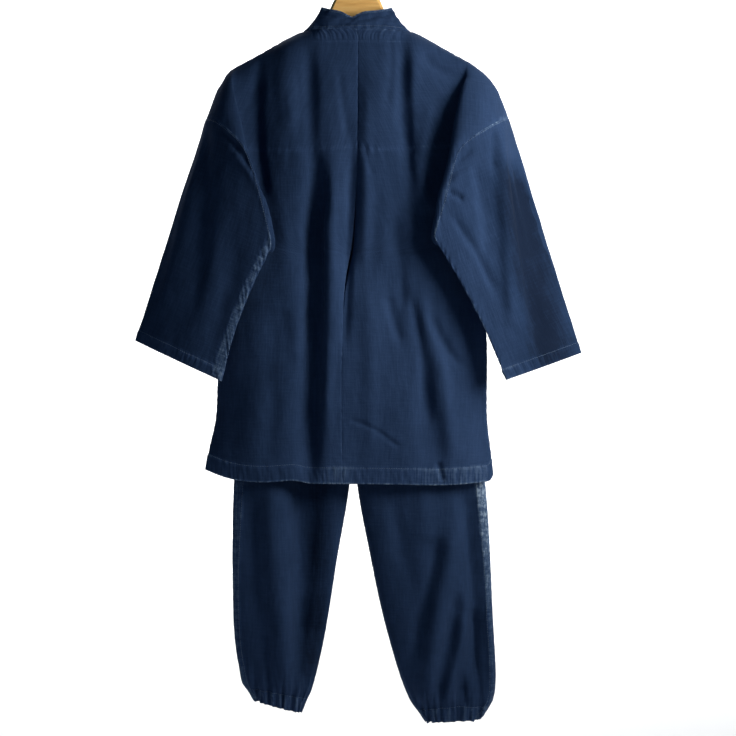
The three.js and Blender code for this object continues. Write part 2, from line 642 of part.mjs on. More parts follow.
// The legs' folds at the back, and others like them at the front.
const LEG_FOLDS = {
  back: table(FOLD, [
    [-150, -880, -120, -1190, 15, 5],
    [-90, -870, -84, -1060, 14, -6],
    [106, -880, 100, -1000, 14, 5],
    [112, -990, 88, -1165, 13, -5],
    [150, -960, 118, -1215, 13, 5],
    [172, -1080, 140, -1225, 12, -5],
  ]),
  front: table(FOLD, [
    [-140, -860, -128, -1180, 15, -5],
    [-100, -900, -104, -1190, 13, 5],
    [120, -880, 138, -1200, 14, -6],
    [160, -900, 178, -1190, 13, 5],
  ]),
};
const CROTCH_ROW = RIGHT_LEG.findIndex((row) => row.z === CROTCH_Z);
const TROUSER_Y = -3; // the trousers hang a little towards the back

// A panel runs from its side seam to the centre seam, and below the crotch to the inside seam.
function legPanel(side, face) {
  const sections = side > 0 ? RIGHT_LEG : LEFT_LEG;
  const plain = cloth(
    sections.map((section) =>
      places(0, PANEL_COLUMNS, 1).map((c) => {
        const share = (1 - Math.cos((Math.PI * c) / PANEL_COLUMNS)) / 2;
        const round = Math.sin((Math.PI * c) / PANEL_COLUMNS) ** 0.75;
        const fullness = c * 2 < PANEL_COLUMNS ? round : mix(round, 1, section.open);
        return v3(
          side * mix(section.outerX, section.innerX, share),
          TROUSER_Y + face * section.depth * fullness,
          section.z + section.slant * (1 - share),
        );
      }),
    ),
    { outwards: side * -face },
  );
  const folds = LEG_FOLDS[face < 0 ? "back" : "front"];
  const gathers = plain.rows.map((row, r) =>
    row.map((point, c) => {
      const gather = GATHER_DEPTH * sections[r].gather * (c % 2 ? -0.5 : 0.5);
      const fold = c > 1 && c < PANEL_COLUMNS - 1 ? foldHeight(folds, point.x, point.z) : 0;
      return point.clone().addScaledVector(plain.normals[r][c], gather + fold);
    }),
  );
  return cloth(gathers, { outwards: side * -face });
}
const legs = { backLeft: legPanel(-1, -1), backRight: legPanel(1, -1), frontLeft: legPanel(-1, 1),
  frontRight: legPanel(1, 1) };
for (const side of ["Left", "Right"]) {
  const [backPanel, frontPanel] = [legs["back" + side], legs["front" + side]];
  sew(columnEdge(backPanel, 0), columnEdge(frontPanel, 0));
  sew(columnEdge(backPanel, -1, CROTCH_ROW), columnEdge(frontPanel, -1, CROTCH_ROW));
}
for (const face of ["back", "front"]) {
  const centreSeam = (side) => columnEdge(legs[face + side], -1, 0, CROTCH_ROW - 1);
  sew(centreSeam("Left"), centreSeam("Right"));
}

// The waistband goes on from the top edge of the four panels, and is pressed flat where the clips hold it.
function waistband() {
  const top = (panel) => panel.rows[0];
  const loop = [
    ...top(legs.backRight),
    ...top(legs.backLeft).slice(0, -1).reverse(),
    ...top(legs.frontLeft).slice(1),
    ...top(legs.frontRight).slice(1, -1).reverse(),
  ];
  const rows = [1, 0.6, 0].map((share) =>
    loop.map((point) => {
      const pressed = (WAIST_PRESSED - DOUBLED_CLOTH) / 2 / RIGHT_LEG[0].depth;
      const y = point.y - TROUSER_Y;
      return v3(point.x, share ? y * pressed : point.y, point.z + share * WAISTBAND);
    }),
  );
  return cloth(rows, { closed: true });
}
const waist = waistband();

// ------------------------------------------------------------ hanger

const REST = 4.6; // the cloth's ridge is this far above the wood's top edge
const armTop = (x) => shoulderZ(x) - REST;
const ARM_END = 194;

// The bar between the arms.
const barOf = (radius, half) =>
  new THREE.CylinderGeometry(radius, radius, 2 * half, 12).rotateZ(Math.PI / 2).translate(0, 0, BAR_Z);

// A solid with another one's shape drilled out of it.
function drilled(geometry, drill) {
  const solids = [geometry, drill].map((shape) => {
    const bare = shape.index ? shape.clone() : shape;
    bare.deleteAttribute("normal");
    bare.deleteAttribute("uv");
    const merged = mergeVertices(bare);
    const vertProperties = new Float32Array(merged.attributes.position.array);
    const triVerts = new Uint32Array(merged.index.array);
    return new wasm.Manifold(new wasm.Mesh({ numProp: 3, vertProperties, triVerts }));
  });
  const { vertProperties, triVerts } = solids[0].subtract(solids[1]).getMesh();
  const result = new THREE.BufferGeometry();
  result.setAttribute("position", new THREE.BufferAttribute(vertProperties, 3));
  result.setIndex(new THREE.BufferAttribute(triVerts, 1));
  return result;
}

// One arm's outline and its mirror image, with a hump that carries the hook.
const WOOD_TOP = [
  [0, -58], [20, -62], [35, -78], [45, -99], [57, -121], [74, -137], [92, -145], [108, armTop(108)],
];
const WOOD_UNDER = [[ARM_END, -203], [ARM_END - 2, -218], [180, -217], [120, -180], [60, -146], [0, -134]];

function hangerWood() {
  const half = new THREE.SplineCurve(WOOD_TOP.map(([x, z]) => new THREE.Vector2(x, z))).getPoints(14);
  const tip = new THREE.Vector2(ARM_END - 6, armTop(ARM_END - 6) - 1);
  const under = WOOD_UNDER.map(([x, z]) => new THREE.Vector2(x, z));
  const right = [...half, tip, ...under];
  const left = right.slice(1, -1).reverse().map(({ x, y }) => new THREE.Vector2(-x, y));
  const geometry = new THREE.ExtrudeGeometry(new THREE.Shape([...right, ...left]), {
    depth: WOOD - 2 * WOOD_EDGE,
    bevelThickness: WOOD_EDGE,
    bevelSize: WOOD_EDGE,
    bevelOffset: -WOOD_EDGE,
    bevelSegments: 1,
    curveSegments: 1,
  });
  return geometry.translate(0, 0, WOOD_EDGE - WOOD / 2).rotateX(Math.PI / 2);
}

// The steel hook goes into the top of the wood, and its inside touches the origin.
function hangerHook() {
  const loop = HOOK_INSIDE + WIRE / 2;
  const around = (degrees) => {
    const turn = (degrees * Math.PI) / 180;
    return v3(loop * Math.cos(turn), 0, -HOOK_INSIDE + loop * Math.sin(turn));
  };
  const path = new THREE.CatmullRomCurve3([
    v3(0, 0, -57.7), v3(0, 0, -53), v3(9, 0, -46), ...[-38, -5, 28, 60, 90, 120, 152, 185, 200].map(around),
  ]);
  const section = new THREE.Shape();
  section.absarc(0, 0, WIRE / 2, 0, 2 * Math.PI);
  return new THREE.ExtrudeGeometry(section, { steps: 30, extrudePath: path, curveSegments: 4 });
}

// A clip of bent strip hangs on the bar and holds the waistband.
function hangerClip(x) {
  const inside = WAIST_PRESSED / 2 + SEAM_GAP;
  const outside = inside + CLIP_STEEL;
  const [top, foot] = [BAR_Z + BAR / 2 + SEAM_GAP - inside, WAIST_TOP_Z - 14];
  const outline = new THREE.Shape();
  outline.moveTo(outside, foot);
  outline.lineTo(outside, top);
  outline.absarc(0, top, outside, 0, Math.PI, false);
  outline.lineTo(-outside, foot);
  outline.lineTo(-inside, foot);
  outline.lineTo(-inside, top);
  outline.absarc(0, top, inside, Math.PI, 0, true);
  outline.lineTo(inside, foot);
  const bent = { depth: CLIP_LENGTH, bevelEnabled: false, curveSegments: 10 };
  const geometry = new THREE.ExtrudeGeometry(outline, bent);
  return geometry.rotateX(Math.PI / 2).rotateZ(Math.PI / 2).translate(x - CLIP_LENGTH / 2, 0, 0);
}

const root = new THREE.Group();
const indigo = () => new THREE.MeshStandardMaterial({ color: INDIGO, roughness: 0.95 });
function add(name, geometry, material) {
  const mesh = new THREE.Mesh(geometry, material);
  mesh.name = name;
  root.add(mesh);
}
add("jacket_back_left", wall(backLeft, CLOTH, hemDoubling), indigo());
add("jacket_back_right", wall(backRight, CLOTH, hemDoubling), indigo());
add("jacket_front_left", wall(frontLeft, CLOTH, hemDoubling), indigo());
add("jacket_front_right", wall(frontRight, CLOTH, hemDoubling), indigo());
add("jacket_sleeve_left", wall(sleeveLeft, CLOTH, cuffDoubling, armholeGap), indigo());
add("jacket_sleeve_right", wall(sleeveRight, CLOTH, cuffDoubling, armholeGap), indigo());
add("jacket_collar", wall(collar, DOUBLED_CLOTH), indigo());
TIES.forEach((row) => add(row.name, wall(tie(row)), indigo()));
add("trousers_waistband", wall(waist, DOUBLED_CLOTH), indigo());
add("trousers_back_left", wall(legs.backLeft), indigo());
add("trousers_back_right", wall(legs.backRight), indigo());
add("trousers_front_left", wall(legs.frontLeft), indigo());
add("trousers_front_right", wall(legs.frontRight), indigo());
const wood = new THREE.MeshStandardMaterial({ color: PALE_WOOD, roughness: 0.5 });
const steel = new THREE.MeshStandardMaterial({ color: STEEL, metalness: 1, roughness: 0.3 });
add("hanger_wood", drilled(hangerWood(), barOf(BAR / 2 + SEAM_GAP, BAR_HALF + SEAM_GAP)), wood);
add("hanger_hook", hangerHook(), steel);
add("hanger_bar", barOf(BAR / 2, BAR_HALF), wood);
add("hanger_clip_left", hangerClip(-CLIP_X), steel);
add("hanger_clip_right", hangerClip(CLIP_X), steel);

export default root;
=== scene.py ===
# %% [markdown]
# # A samue on its hanger
# A samue is the two-piece work suit of indigo cotton that temple staff and craftspeople wear in
# Japan. This notebook dresses its plain pattern pieces as real cloth: each piece is a wall from the
# fixed frame, and the lesson is how to turn such a wall into a soft sheet with creases, puckered
# seams, stitches and worn dye.

# %% The frame
import math

import bpy
import numpy as np
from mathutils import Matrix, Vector


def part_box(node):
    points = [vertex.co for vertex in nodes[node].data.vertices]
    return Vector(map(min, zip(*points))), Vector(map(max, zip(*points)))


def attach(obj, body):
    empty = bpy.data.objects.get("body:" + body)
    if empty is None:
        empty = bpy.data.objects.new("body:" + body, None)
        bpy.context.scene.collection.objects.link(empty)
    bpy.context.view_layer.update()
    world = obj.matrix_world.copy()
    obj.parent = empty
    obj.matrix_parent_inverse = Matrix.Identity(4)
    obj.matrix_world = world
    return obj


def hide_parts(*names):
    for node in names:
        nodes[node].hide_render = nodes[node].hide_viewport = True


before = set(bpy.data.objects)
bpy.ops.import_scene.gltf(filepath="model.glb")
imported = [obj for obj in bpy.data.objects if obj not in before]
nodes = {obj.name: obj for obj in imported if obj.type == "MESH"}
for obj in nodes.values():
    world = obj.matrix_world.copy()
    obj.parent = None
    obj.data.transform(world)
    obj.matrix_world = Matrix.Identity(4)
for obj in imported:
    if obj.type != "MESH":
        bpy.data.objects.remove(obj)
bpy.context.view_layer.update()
print("pattern pieces and hanger parts:", len(nodes))

# %% [markdown]
# ## Where we look from
# The suit hangs straight, so the camera looks level at its back. A camera close by would make the
# sleeves look larger than they are, so this one stands over three metres away with a long lens. The
# lens follows from the width that the picture shows at the suit.

# %% Camera
CAMERA_DISTANCE = 3.2
SENSOR_MM = 36
PICTURE_WIDTH = 1.2144
PICTURE_CENTRE_X = 0.0182
PICTURE_CENTRE_Z = -0.690

lens_data = bpy.data.cameras.new("camera")
lens_data.sensor_width = SENSOR_MM
lens_data.lens = SENSOR_MM * CAMERA_DISTANCE / PICTURE_WIDTH
camera = bpy.data.objects.new("camera", lens_data)
camera.location = (PICTURE_CENTRE_X, -CAMERA_DISTANCE, PICTURE_CENTRE_Z)
camera.rotation_euler = (math.pi / 2, 0, 0)
bpy.context.scene.collection.objects.link(camera)
bpy.context.scene.camera = camera
print("lens", round(lens_data.lens, 1), "mm")

# %% [markdown]
# ## Reading a pattern piece from its wall
# A wall in the frame is a thin closed solid: an outer skin, an inner skin, and a narrow rim round the
# open edges. Its skins were made from rows and columns, and every cell was cut along the same
# diagonal. That makes the grid recoverable. Working from the grid gives real rows and columns, which
# stitches, hems and gathers need, and which a remesh would have lost. First the doubled points of the
# flat-shaded wall are joined.

# %% Joining a wall's points
JOIN = 2e5  # points closer than 1 / JOIN metres are one


def welded(node):
    """Points and triangles of a frame node, with doubled points joined."""
    mesh = nodes[node].data
    mesh.calc_loop_triangles()
    points = np.array([v.co for v in mesh.vertices])
    triangles = np.array([t.vertices[:] for t in mesh.loop_triangles])
    rounded = np.round(points * JOIN).astype(int)
    _, first, joined = np.unique(rounded, axis=0, return_index=True, return_inverse=True)
    triangles = joined.reshape(-1)[triangles]
    distinct = [len(set(t)) == 3 for t in triangles.tolist()]
    return points[first], triangles[distinct]


print("the back's left wall has", len(welded("jacket_back_left")[0]), "points")

# %% [markdown]
# ## Telling the outer skin from the inner
# The rim's triangles all have one edge as long as the cloth is thick, so they are easy to take out.
# The two skins then fall apart, and the outer one is the one whose normals point away from an upright
# axis inside.

# %% The two skins
THICKNESSES = (0.0016, 0.0023, 0.0026)
THICKNESS_ERROR = 1.2e-5


def owners_of_edges(triangles):
    """For each edge, the triangles that share it."""
    owners = {}
    for i, t in enumerate(triangles):
        for k in range(3):
            owners.setdefault(frozenset((t[k], t[k - 1])), []).append(i)
    return owners


def skins(points, triangles):
    """The outer and inner skins, the larger first: what is left of a wall without its rim."""
    def rim(t):
        lengths = [np.linalg.norm(points[t[i]] - points[t[i - 1]]) for i in range(3)]
        return any(abs(length - thick) < THICKNESS_ERROR for length in lengths for thick in THICKNESSES)

    kept = [tuple(t) for t in triangles.tolist() if not rim(t)]
    by_edge = owners_of_edges(kept)
    group = [-1] * len(kept)
    groups = []
    for start in range(len(kept)):
        if group[start] >= 0:
            continue
        group[start] = len(groups)
        queue = [start]
        for i in queue:
            t = kept[i]
            for k in range(3):
                for j in by_edge[frozenset((t[k], t[k - 1]))]:
                    if group[j] < 0:
                        group[j] = group[start]
                        queue.append(j)
        groups.append([kept[i] for i in queue])
    return sorted(groups, key=len, reverse=True)


def outer_skin(name, axis):
    """The skin that faces away from an upright axis at (x, y)."""
    points, triangles = welded(name)
    best, found = None, -math.inf
    for group in skins(points, triangles)[:2]:
        corners = points[np.array(group)]
        normals = np.cross(corners[:, 1] - corners[:, 0], corners[:, 2] - corners[:, 0])
        away = corners.mean(1)[:, :2] - np.array(axis)
        outwards = float((normals[:, :2] * away).sum())
        if outwards > found:
            best, found = group, outwards
    return points, best


print("triangles in the outer skin of a back panel:", len(outer_skin("jacket_back_left", (0, 0))[1]))

# %% [markdown]
# ## Numbering rows and columns
# If two triangles share an edge p-q, their other corners t and u obey t + u = p + q in grid
# coordinates, as the corners of a parallelogram do. So one known corner is enough to number the whole
# piece by walking from triangle to triangle. A tube has no corner: its walk starts at any rim edge,
# and its columns are counted round.

# %% Rows and columns
def first_triangle(skin, rim_edges):
    """A triangle to start from, the places of its corners, and whether the skin is a tube."""
    for i, t in enumerate(skin):
        rims = [frozenset((t[k], t[k - 1])) in rim_edges for k in range(3)]
        if sum(rims) == 2:
            corner = next(t[k] for k in range(3) if rims[k] and rims[(k + 1) % 3])
            others = [v for v in t if v != corner]
            return i, {corner: (0, 0), others[0]: (0, 1), others[1]: (1, 0)}, False
    for i, t in enumerate(skin):
        for k in range(3):
            rim = frozenset((t[k], t[k - 1]))
            if rim in rim_edges:
                p, q = sorted(rim)
                third = next(v for v in t if v not in rim)
                return i, {p: (0, 0), q: (0, 1), third: (1, 0)}, True


def numbered(skin, by_edge, start, place):
    """The (row, column) of every point of the skin, by a walk from the first triangle."""
    seen = {start}
    queue = [start]
    for i in queue:
        t = skin[i]
        for k in range(3):
            p, q, r = t[k], t[k - 1], t[k - 2]
            for j in by_edge[frozenset((p, q))]:
                if j in seen:
                    continue
                seen.add(j)
                queue.append(j)
                u = next(v for v in skin[j] if v not in (p, q))
                if u not in place:
                    place[u] = tuple(place[p][n] + place[q][n] - place[r][n] for n in (0, 1))
    return place


SQUARE = [(0, 1, 2), (1, 3, 2)]
print("a square numbered:", numbered(SQUARE, owners_of_edges(SQUARE), 0, {0: (0, 0), 1: (0, 1), 2: (1, 0)}))

# %% [markdown]
# ## Untwisting the tubes
# Walking round a tube may come back shifted by a column or two for each row, so that the columns
# would wind like a screw. Of the possible shifts the right one has the shortest steps from row to
# row.

# %% Tubes and whole grids
SHIFTS = (-2, -1, 0, 1, 2)


def untwisted(points, place, width):
    """The point at each (row, column) of a tube."""
    shifted = []
    for shift in SHIFTS:
        lookup = {(a, (b + shift * a) % width): v for v, (a, b) in place.items()}
        gaps = [np.linalg.norm(points[v] - points[lookup[(a + 1, b)]])
                for (a, b), v in lookup.items() if (a + 1, b) in lookup]
        shifted.append((np.mean(gaps), lookup))
    return min(shifted, key=lambda pair: pair[0])[1]


def grid_of(name, axis=(0, 0)):
    """The outer skin as rows, from the top down, and columns, and whether it closes round a tube."""
    points, skin = outer_skin(name, axis)
    by_edge = owners_of_edges(skin)
    rim_edges = {e for e, owners in by_edge.items() if len(owners) == 1}
    start, place, tube = first_triangle(skin, rim_edges)
    place = numbered(skin, by_edge, start, place)
    if tube:
        lookup = untwisted(points, place, len(rim_edges) // 2)
    else:
        lookup = {p: v for v, p in place.items()}
    rows, columns = sorted({a for a, _ in lookup}), sorted({b for _, b in lookup})
    grid = np.array([[points[lookup[(a, b)]] for b in columns] for a in rows])
    falls = [np.abs(np.diff(grid[..., 2], axis=n)).mean() for n in (0, 1)]
    if not tube and falls[1] > falls[0]:
        grid = grid.transpose(1, 0, 2)
    if grid[0, :, 2].mean() < grid[-1, :, 2].mean():
        grid = grid[::-1]
    return grid, tube


print("the collar's grid is", grid_of("jacket_collar")[0].shape[:2])

# %% [markdown]
# ## The pattern pieces
# Like pieces should be numbered alike, so that one recipe dresses left and right. Columns run from a
# piece's outer side inwards. A tube's first column is its outermost line, or the highest one on a
# sleeve.

# %% Pattern pieces
BODY_AXIS = (0, -0.003)  # inside the jacket and the trousers


def pattern_piece(name):
    """The piece's grid in millimetres, and whether it is a tube."""
    axis = BODY_AXIS
    if "sleeve" in name:
        lo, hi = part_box(name)
        axis = ((lo.x + hi.x) / 2, (lo.y + hi.y) / 2)
    grid, tube = grid_of(name, axis)
    if tube:
        first = int(grid[0, :, 2].argmax()) if "sleeve" in name else int(grid[0, :, 0].argmin())
        grid = np.roll(grid, -first, axis=1)
        if grid[0, 2, 1] > grid[0, -2, 1]:
            grid = np.roll(grid[:, ::-1], 1, axis=1)
    elif name != "jacket_collar" and abs(grid[:, 0, 0]).mean() < abs(grid[:, -1, 0]).mean():
        grid = grid[:, ::-1]
    return grid * 1000, tube


patterns = {name: pattern_piece(name) for name in sorted(nodes) if name.startswith(("jacket", "trousers"))}
print({name: grid.shape[:2] for name, (grid, _) in patterns.items()})

# %% [markdown]
# ## From a coarse grid to smooth cloth
# The wall's rows are centimetres apart. Subdividing it would work, but a spline through the grid lets
# us choose where the new points go. There are two usual splines: one passes through the points and
# may ripple between them, the other only leans on them and rounds everything off. Across the cloth a
# blend keeps the pleats crisp without ripples, and down the cloth the leaning one is enough.

# %% Spline weights
def spline_weights(count, places, closed, crisp=0.6):
    """How much each of the grid's lines counts at each place, counted in lines."""
    weights = np.zeros((len(places), count))
    for i, place in enumerate(places):
        k = min(int(place), count - (1 if closed else 2))
        f = place - k
        leaning = ((1 - f) ** 3 / 6, (3 * f**3 - 6 * f**2 + 4) / 6,
                   (1 + 3 * f + 3 * f**2 - 3 * f**3) / 6, f**3 / 6)
        passing = ((2 * f**2 - f - f**3) / 2, (2 - 5 * f**2 + 3 * f**3) / 2,
                   (f + 4 * f**2 - 3 * f**3) / 2, (f**3 - f**2) / 2)
        for n in range(4):
            weight = leaning[n] + (passing[n] - leaning[n]) * crisp
            j = k + n - 1
            if closed:
                weights[i, j % count] += weight
            elif j < 0 or j >= count:
                end, inside = (0, 1) if j < 0 else (count - 1, count - 2)
                weights[i, end] += 2 * weight
                weights[i, inside] -= weight
            else:
                weights[i, j] += weight
    return weights


print("halfway between two of five lines:", spline_weights(5, [1.5], False).round(2).tolist())

# %% [markdown]
# ## Even spacing on the cloth
# Points spread evenly over the grid would crowd where the grid is fine. Measured along the cloth they
# are even, and closer only in the hems and at the ankles, where the folds are small.

# %% Even places
FINER = 0.6


def even_places(grid, axis, step, closed=False, fine_start=0, fine_end=0):
    """Places along an axis of the grid: even on the cloth, and closer in the fine lengths at its ends."""
    steps = np.roll(grid, -1, axis) - grid if closed else np.diff(grid, axis=axis)
    spans = np.linalg.norm(steps, axis=2)
    lengths = np.concatenate([[0], np.cumsum(spans.mean(axis=1 - axis))])
    targets = [0.0]
    while targets[-1] < lengths[-1]:
        near_end = targets[-1] < fine_start or lengths[-1] - targets[-1] < fine_end
        targets.append(targets[-1] + step * (FINER if near_end else 1))
    targets = np.array(targets) * lengths[-1] / targets[-1]
    return np.interp(targets, lengths, np.arange(len(lengths)))[: len(targets) - (1 if closed else 0)]


def normals_of(points, closed):
    """The direction square to the cloth at each point."""
    across = (np.roll(points, -1, 1) - np.roll(points, 1, 1)) / 2 if closed else np.gradient(points, axis=1)
    normals = np.cross(across, np.gradient(points, axis=0))
    return normals / np.maximum(np.linalg.norm(normals, axis=2, keepdims=True), 1e-9)


print("rows down the back, 3 mm apart:", len(even_places(patterns["jacket_back_left"][0], 0, 3)))

# %% [markdown]
# ## A sheet that knows its own shape
# Everything later is said in tailor's terms: so far from the hem, so far from the seam. So each sheet
# measures the distance of every point from its four edges along the cloth. It also lays itself out
# flat along the grain, which gives the size of its cut and the direction in which the yarn runs.

# %% A sheet
class Sheet:
    """A dense sheet of cloth in millimetres, with distances from its edges along the cloth."""

    def __init__(self, name, step, grain=(0, -1), fine_top=0, fine_bottom=0):
        grid, self.closed = patterns[name]
        self.name = name
        rows = even_places(grid, 0, step, False, fine_top, fine_bottom)
        columns = even_places(grid, 1, step, self.closed)
        down = spline_weights(grid.shape[0], rows, False, 0.0)
        across = spline_weights(grid.shape[1], columns, self.closed)
        self.points = np.einsum("ra,abk,cb->rck", down, grid, across)
        self.normals = normals_of(self.points, self.closed)
        middle = self.points.mean((0, 1)) if self.closed else np.zeros(3)
        self.facing = 1 if (self.normals[..., :2] * (self.points - middle)[..., :2]).sum() > 0 else -1
        self.normals = self.normals * self.facing
        self.measure()
        self.lay_flat(grain)
        shape = self.points.shape[:2]
        self.worn = np.zeros(shape)
        self.pucker_across = np.zeros(shape)
        self.pucker_down = np.zeros(shape)

    def measure(self):
        """Distances from the edges, on the smooth sheet before it is creased."""
        down = np.linalg.norm(np.diff(self.points, axis=0), axis=2)
        across = np.linalg.norm(np.diff(self.points, axis=1), axis=2)
        self.from_top = np.concatenate([np.zeros((1, self.points.shape[1])), np.cumsum(down, 0)])
        self.from_bottom = self.from_top[-1] - self.from_top
        self.from_first = np.concatenate([np.zeros((self.points.shape[0], 1)), np.cumsum(across, 1)], 1)
        self.from_last = self.from_first[:, -1:] - self.from_first
        closing = np.linalg.norm(self.points[:, 0] - self.points[:, -1], axis=1)
        self.girth = self.from_first[:, -1] + (closing if self.closed else 0)
        self.width = float(self.girth.max())
        self.length = float(self.from_top[-1].max())
        rows = (self.girth[:-1] + self.girth[1:]) / 2
        self.area = float((down.mean(1) * rows).sum())

    def lay_flat(self, grain):
        """Flat coordinates along and across the grain, which runs straight however the edges are cut."""
        along = np.array([grain[0], 0, grain[1]], float) / math.hypot(*grain)
        across = np.cross(along, (0, 1, 0))
        ring = np.concatenate([self.points, self.points[:, :1]], 1) if self.closed else self.points
        steps = np.diff(ring, axis=1)
        lengths = np.hypot(steps @ across, steps[..., 1])
        run = np.concatenate([np.zeros((ring.shape[0], 1)), np.cumsum(lengths, 1)], 1)
        start = ring[:, :1] @ across
        sign = 1 if (ring[:, 1] @ across > ring[:, 0] @ across).mean() > 0.5 else -1
        self.flat = np.stack([start + sign * run, -(ring @ along)], -1)

    def push(self, height):
        """Moves the cloth out along its facing, in millimetres."""
        self.points = self.points + self.normals * height[..., None]

    def refresh(self):
        """Finds the normals again after the cloth has moved."""
        self.normals = normals_of(self.points, self.closed) * self.facing


tie = Sheet("jacket_tie_left", 2.6)
print("a tie is", round(tie.width), "mm wide and", round(tie.length), "mm long")

# %% [markdown]
# ## Creases as heights
# Folds in hanging cloth are long soft ridges and troughs, usually steeper on one side. Each is
# written here as a path in the hanging plane with a width to either side and a height, and fades at
# its ends. Cloth simulation can find folds by itself, but not the ones this suit has, so they are
# given one by one.

# %% Creases
ENDS_FADE = 2.2


def crease_heights(sheet, creases):
    """The sum of the creases, each (height, width before, width after, [(x, z), ...]), at each point."""
    total = np.zeros(sheet.points.shape[:2])
    x, z = sheet.points[..., 0], sheet.points[..., 2]
    for height, before, after, path in creases:
        path = np.array(path, float)
        lengths = np.concatenate([[0], np.cumsum(np.linalg.norm(np.diff(path, axis=0), axis=1))])
        nearest = np.full(total.shape, math.inf)
        share = np.zeros(total.shape)
        side = np.zeros(total.shape)
        for (ax, az), (bx, bz), start, end in zip(path, path[1:], lengths, lengths[1:]):
            dx, dz = bx - ax, bz - az
            t = ((x - ax) * dx + (z - az) * dz) / (dx * dx + dz * dz)
            inside = np.clip(t, 0, 1)
            aside = np.hypot(x - ax - inside * dx, z - az - inside * dz)
            closer = aside < nearest
            nearest = np.where(closer, aside, nearest)
            share = np.where(closer, (start + inside * (end - start)) / lengths[-1], share)
            side = np.where(closer, (x - ax) * dz - (z - az) * dx, side)
        width = np.where(side > 0, before, after)
        fade = np.clip(np.sin(np.pi * np.clip(share, 0.02, 0.98)) * ENDS_FADE, 0, 1)
        total += height * np.exp(-((nearest / width) ** 2)) * fade
    return total


def near(distance, width):
    """1 on a line, fading within the width."""
    return np.exp(-((distance / width) ** 2))


def step_down(distance, edge, softness=1.5):
    """1 where the distance is less than the edge, 0 beyond it."""
    return 1 / (1 + np.exp(np.clip((distance - edge) / softness * 2, -40, 40)))


print("a 10 mm wide fold, 5 mm from its line:", round(float(near(5, 10)), 2), "of its height")

# %% [markdown]
# ## Ripples and unevenness
# Nothing on washed cotton repeats exactly. A ripple is a wave whose length and height wander, and the
# soft unevenness of a wide face comes from a few crossed waves. Both are sums of sines, so they come
# out the same each time, and each place has its own seed.

# %% Ripples
def ripple(along, length, seed):
    """An uneven wave along a seam."""
    phase = along * 2 * np.pi / length
    slow = np.sin(phase * 0.271 + seed) * 1.3 + np.sin(phase * 0.117 + seed * 2.3) * 1.7
    return np.sin(phase + slow) * (0.65 + 0.35 * np.sin(phase * 0.19 + seed * 1.7))


def noise_field(a, b, size, seed):
    """Soft unevenness over the cloth: a few crossed waves of nearly one size."""
    angles = np.array([0.3, 1.1, 1.9, 2.6, 0.7]) + seed
    waves = [np.sin((a * math.cos(t) + b * math.sin(t)) * 2 * np.pi / (size * k) + seed * 5 * k)
             for t, k in zip(angles, (1.0, 0.83, 1.21, 0.69, 1.43))]
    return sum(waves) / 5


def weathered(sheet, seed, free):
    """The soft unevenness of washed cotton, none of it on the seams it shares with other pieces."""
    x, z = sheet.points[..., 0], sheet.points[..., 2]
    wide, small = noise_field(x, z * 0.55, 74, seed), noise_field(x, z * 0.7, 31, seed + 3)
    sheet.push((wide * 1.1 + small * 0.45) * free)


print("a ripple of 17 mm:", ripple(np.arange(0, 17, 4), 17, 1.0).round(2).tolist())

# %% [markdown]
# ## Seams and hems
# The thread pulls a seam shorter than its cloth, so the cloth beside it ripples, most at the seam and
# hardly at all a centimetre away. A turned hem is doubled cloth whose layers creep against each other
# in the wash, which pulls slanting ropes into it. Both lose their dye first where they stand highest.

# %% Seams and hems
PUCKER_MM, ROPE_MM = 17, 13


def seam(sheet, distance, along, way, strength=1.0, seed=0.0, faded=0.75):
    """A seam: a groove, puckered cloth beside it, and dye rubbed off its lips."""
    uneven = 0.6 + 0.4 * np.sin(along / 37 + seed) * np.sin(along / 91 + seed * 2)
    puckers = near(distance, 9) * ripple(along, PUCKER_MM, seed) * 0.9
    sheet.push(strength * (puckers - near(distance, 1.6) * 0.8))
    mark = near(distance, 8) * uneven * strength
    if way == "down":
        sheet.pucker_down = np.maximum(sheet.pucker_down, mark)
    else:
        sheet.pucker_across = np.maximum(sheet.pucker_across, mark)
    sheet.worn = np.maximum(sheet.worn, near(distance, 2.6) * uneven * faded)


def hem(sheet, distance, along, depth, strength=1.0, seed=0.0):
    """A turned hem: doubled cloth with a roped pull between its stitches and its fold."""
    doubled = step_down(distance, depth)
    rope = ripple(along + distance * 0.4, ROPE_MM, seed) * 0.4
    sheet.push(strength * (doubled * (0.8 + rope) - near(distance - depth + 1.5, 1.8) * 0.9))
    uneven = 0.7 + 0.3 * np.sin(along / 43 + seed)
    sheet.pucker_across = np.maximum(sheet.pucker_across, doubled * uneven * strength * 1.1)
    sheet.worn = np.maximum(sheet.worn, near(distance, 2.2) * 0.9 * strength)
    stitched = near(distance - depth + 2, 3) * 0.30
    sheet.worn = np.maximum(sheet.worn, (stitched + doubled * 0.16) * uneven * strength)


hem(tie, tie.from_bottom, tie.flat[..., 0], 5)
print("the most worn point of a hem:", round(float(tie.worn.max()), 2))

# %% [markdown]
# ## Shorthand for materials
# A material is a small network of nodes. Written out in full it takes many lines, most of them links,
# so this class gives the few nodes that cloth, wood and steel need a short name each. A number that
# is the same all over goes straight on its socket.

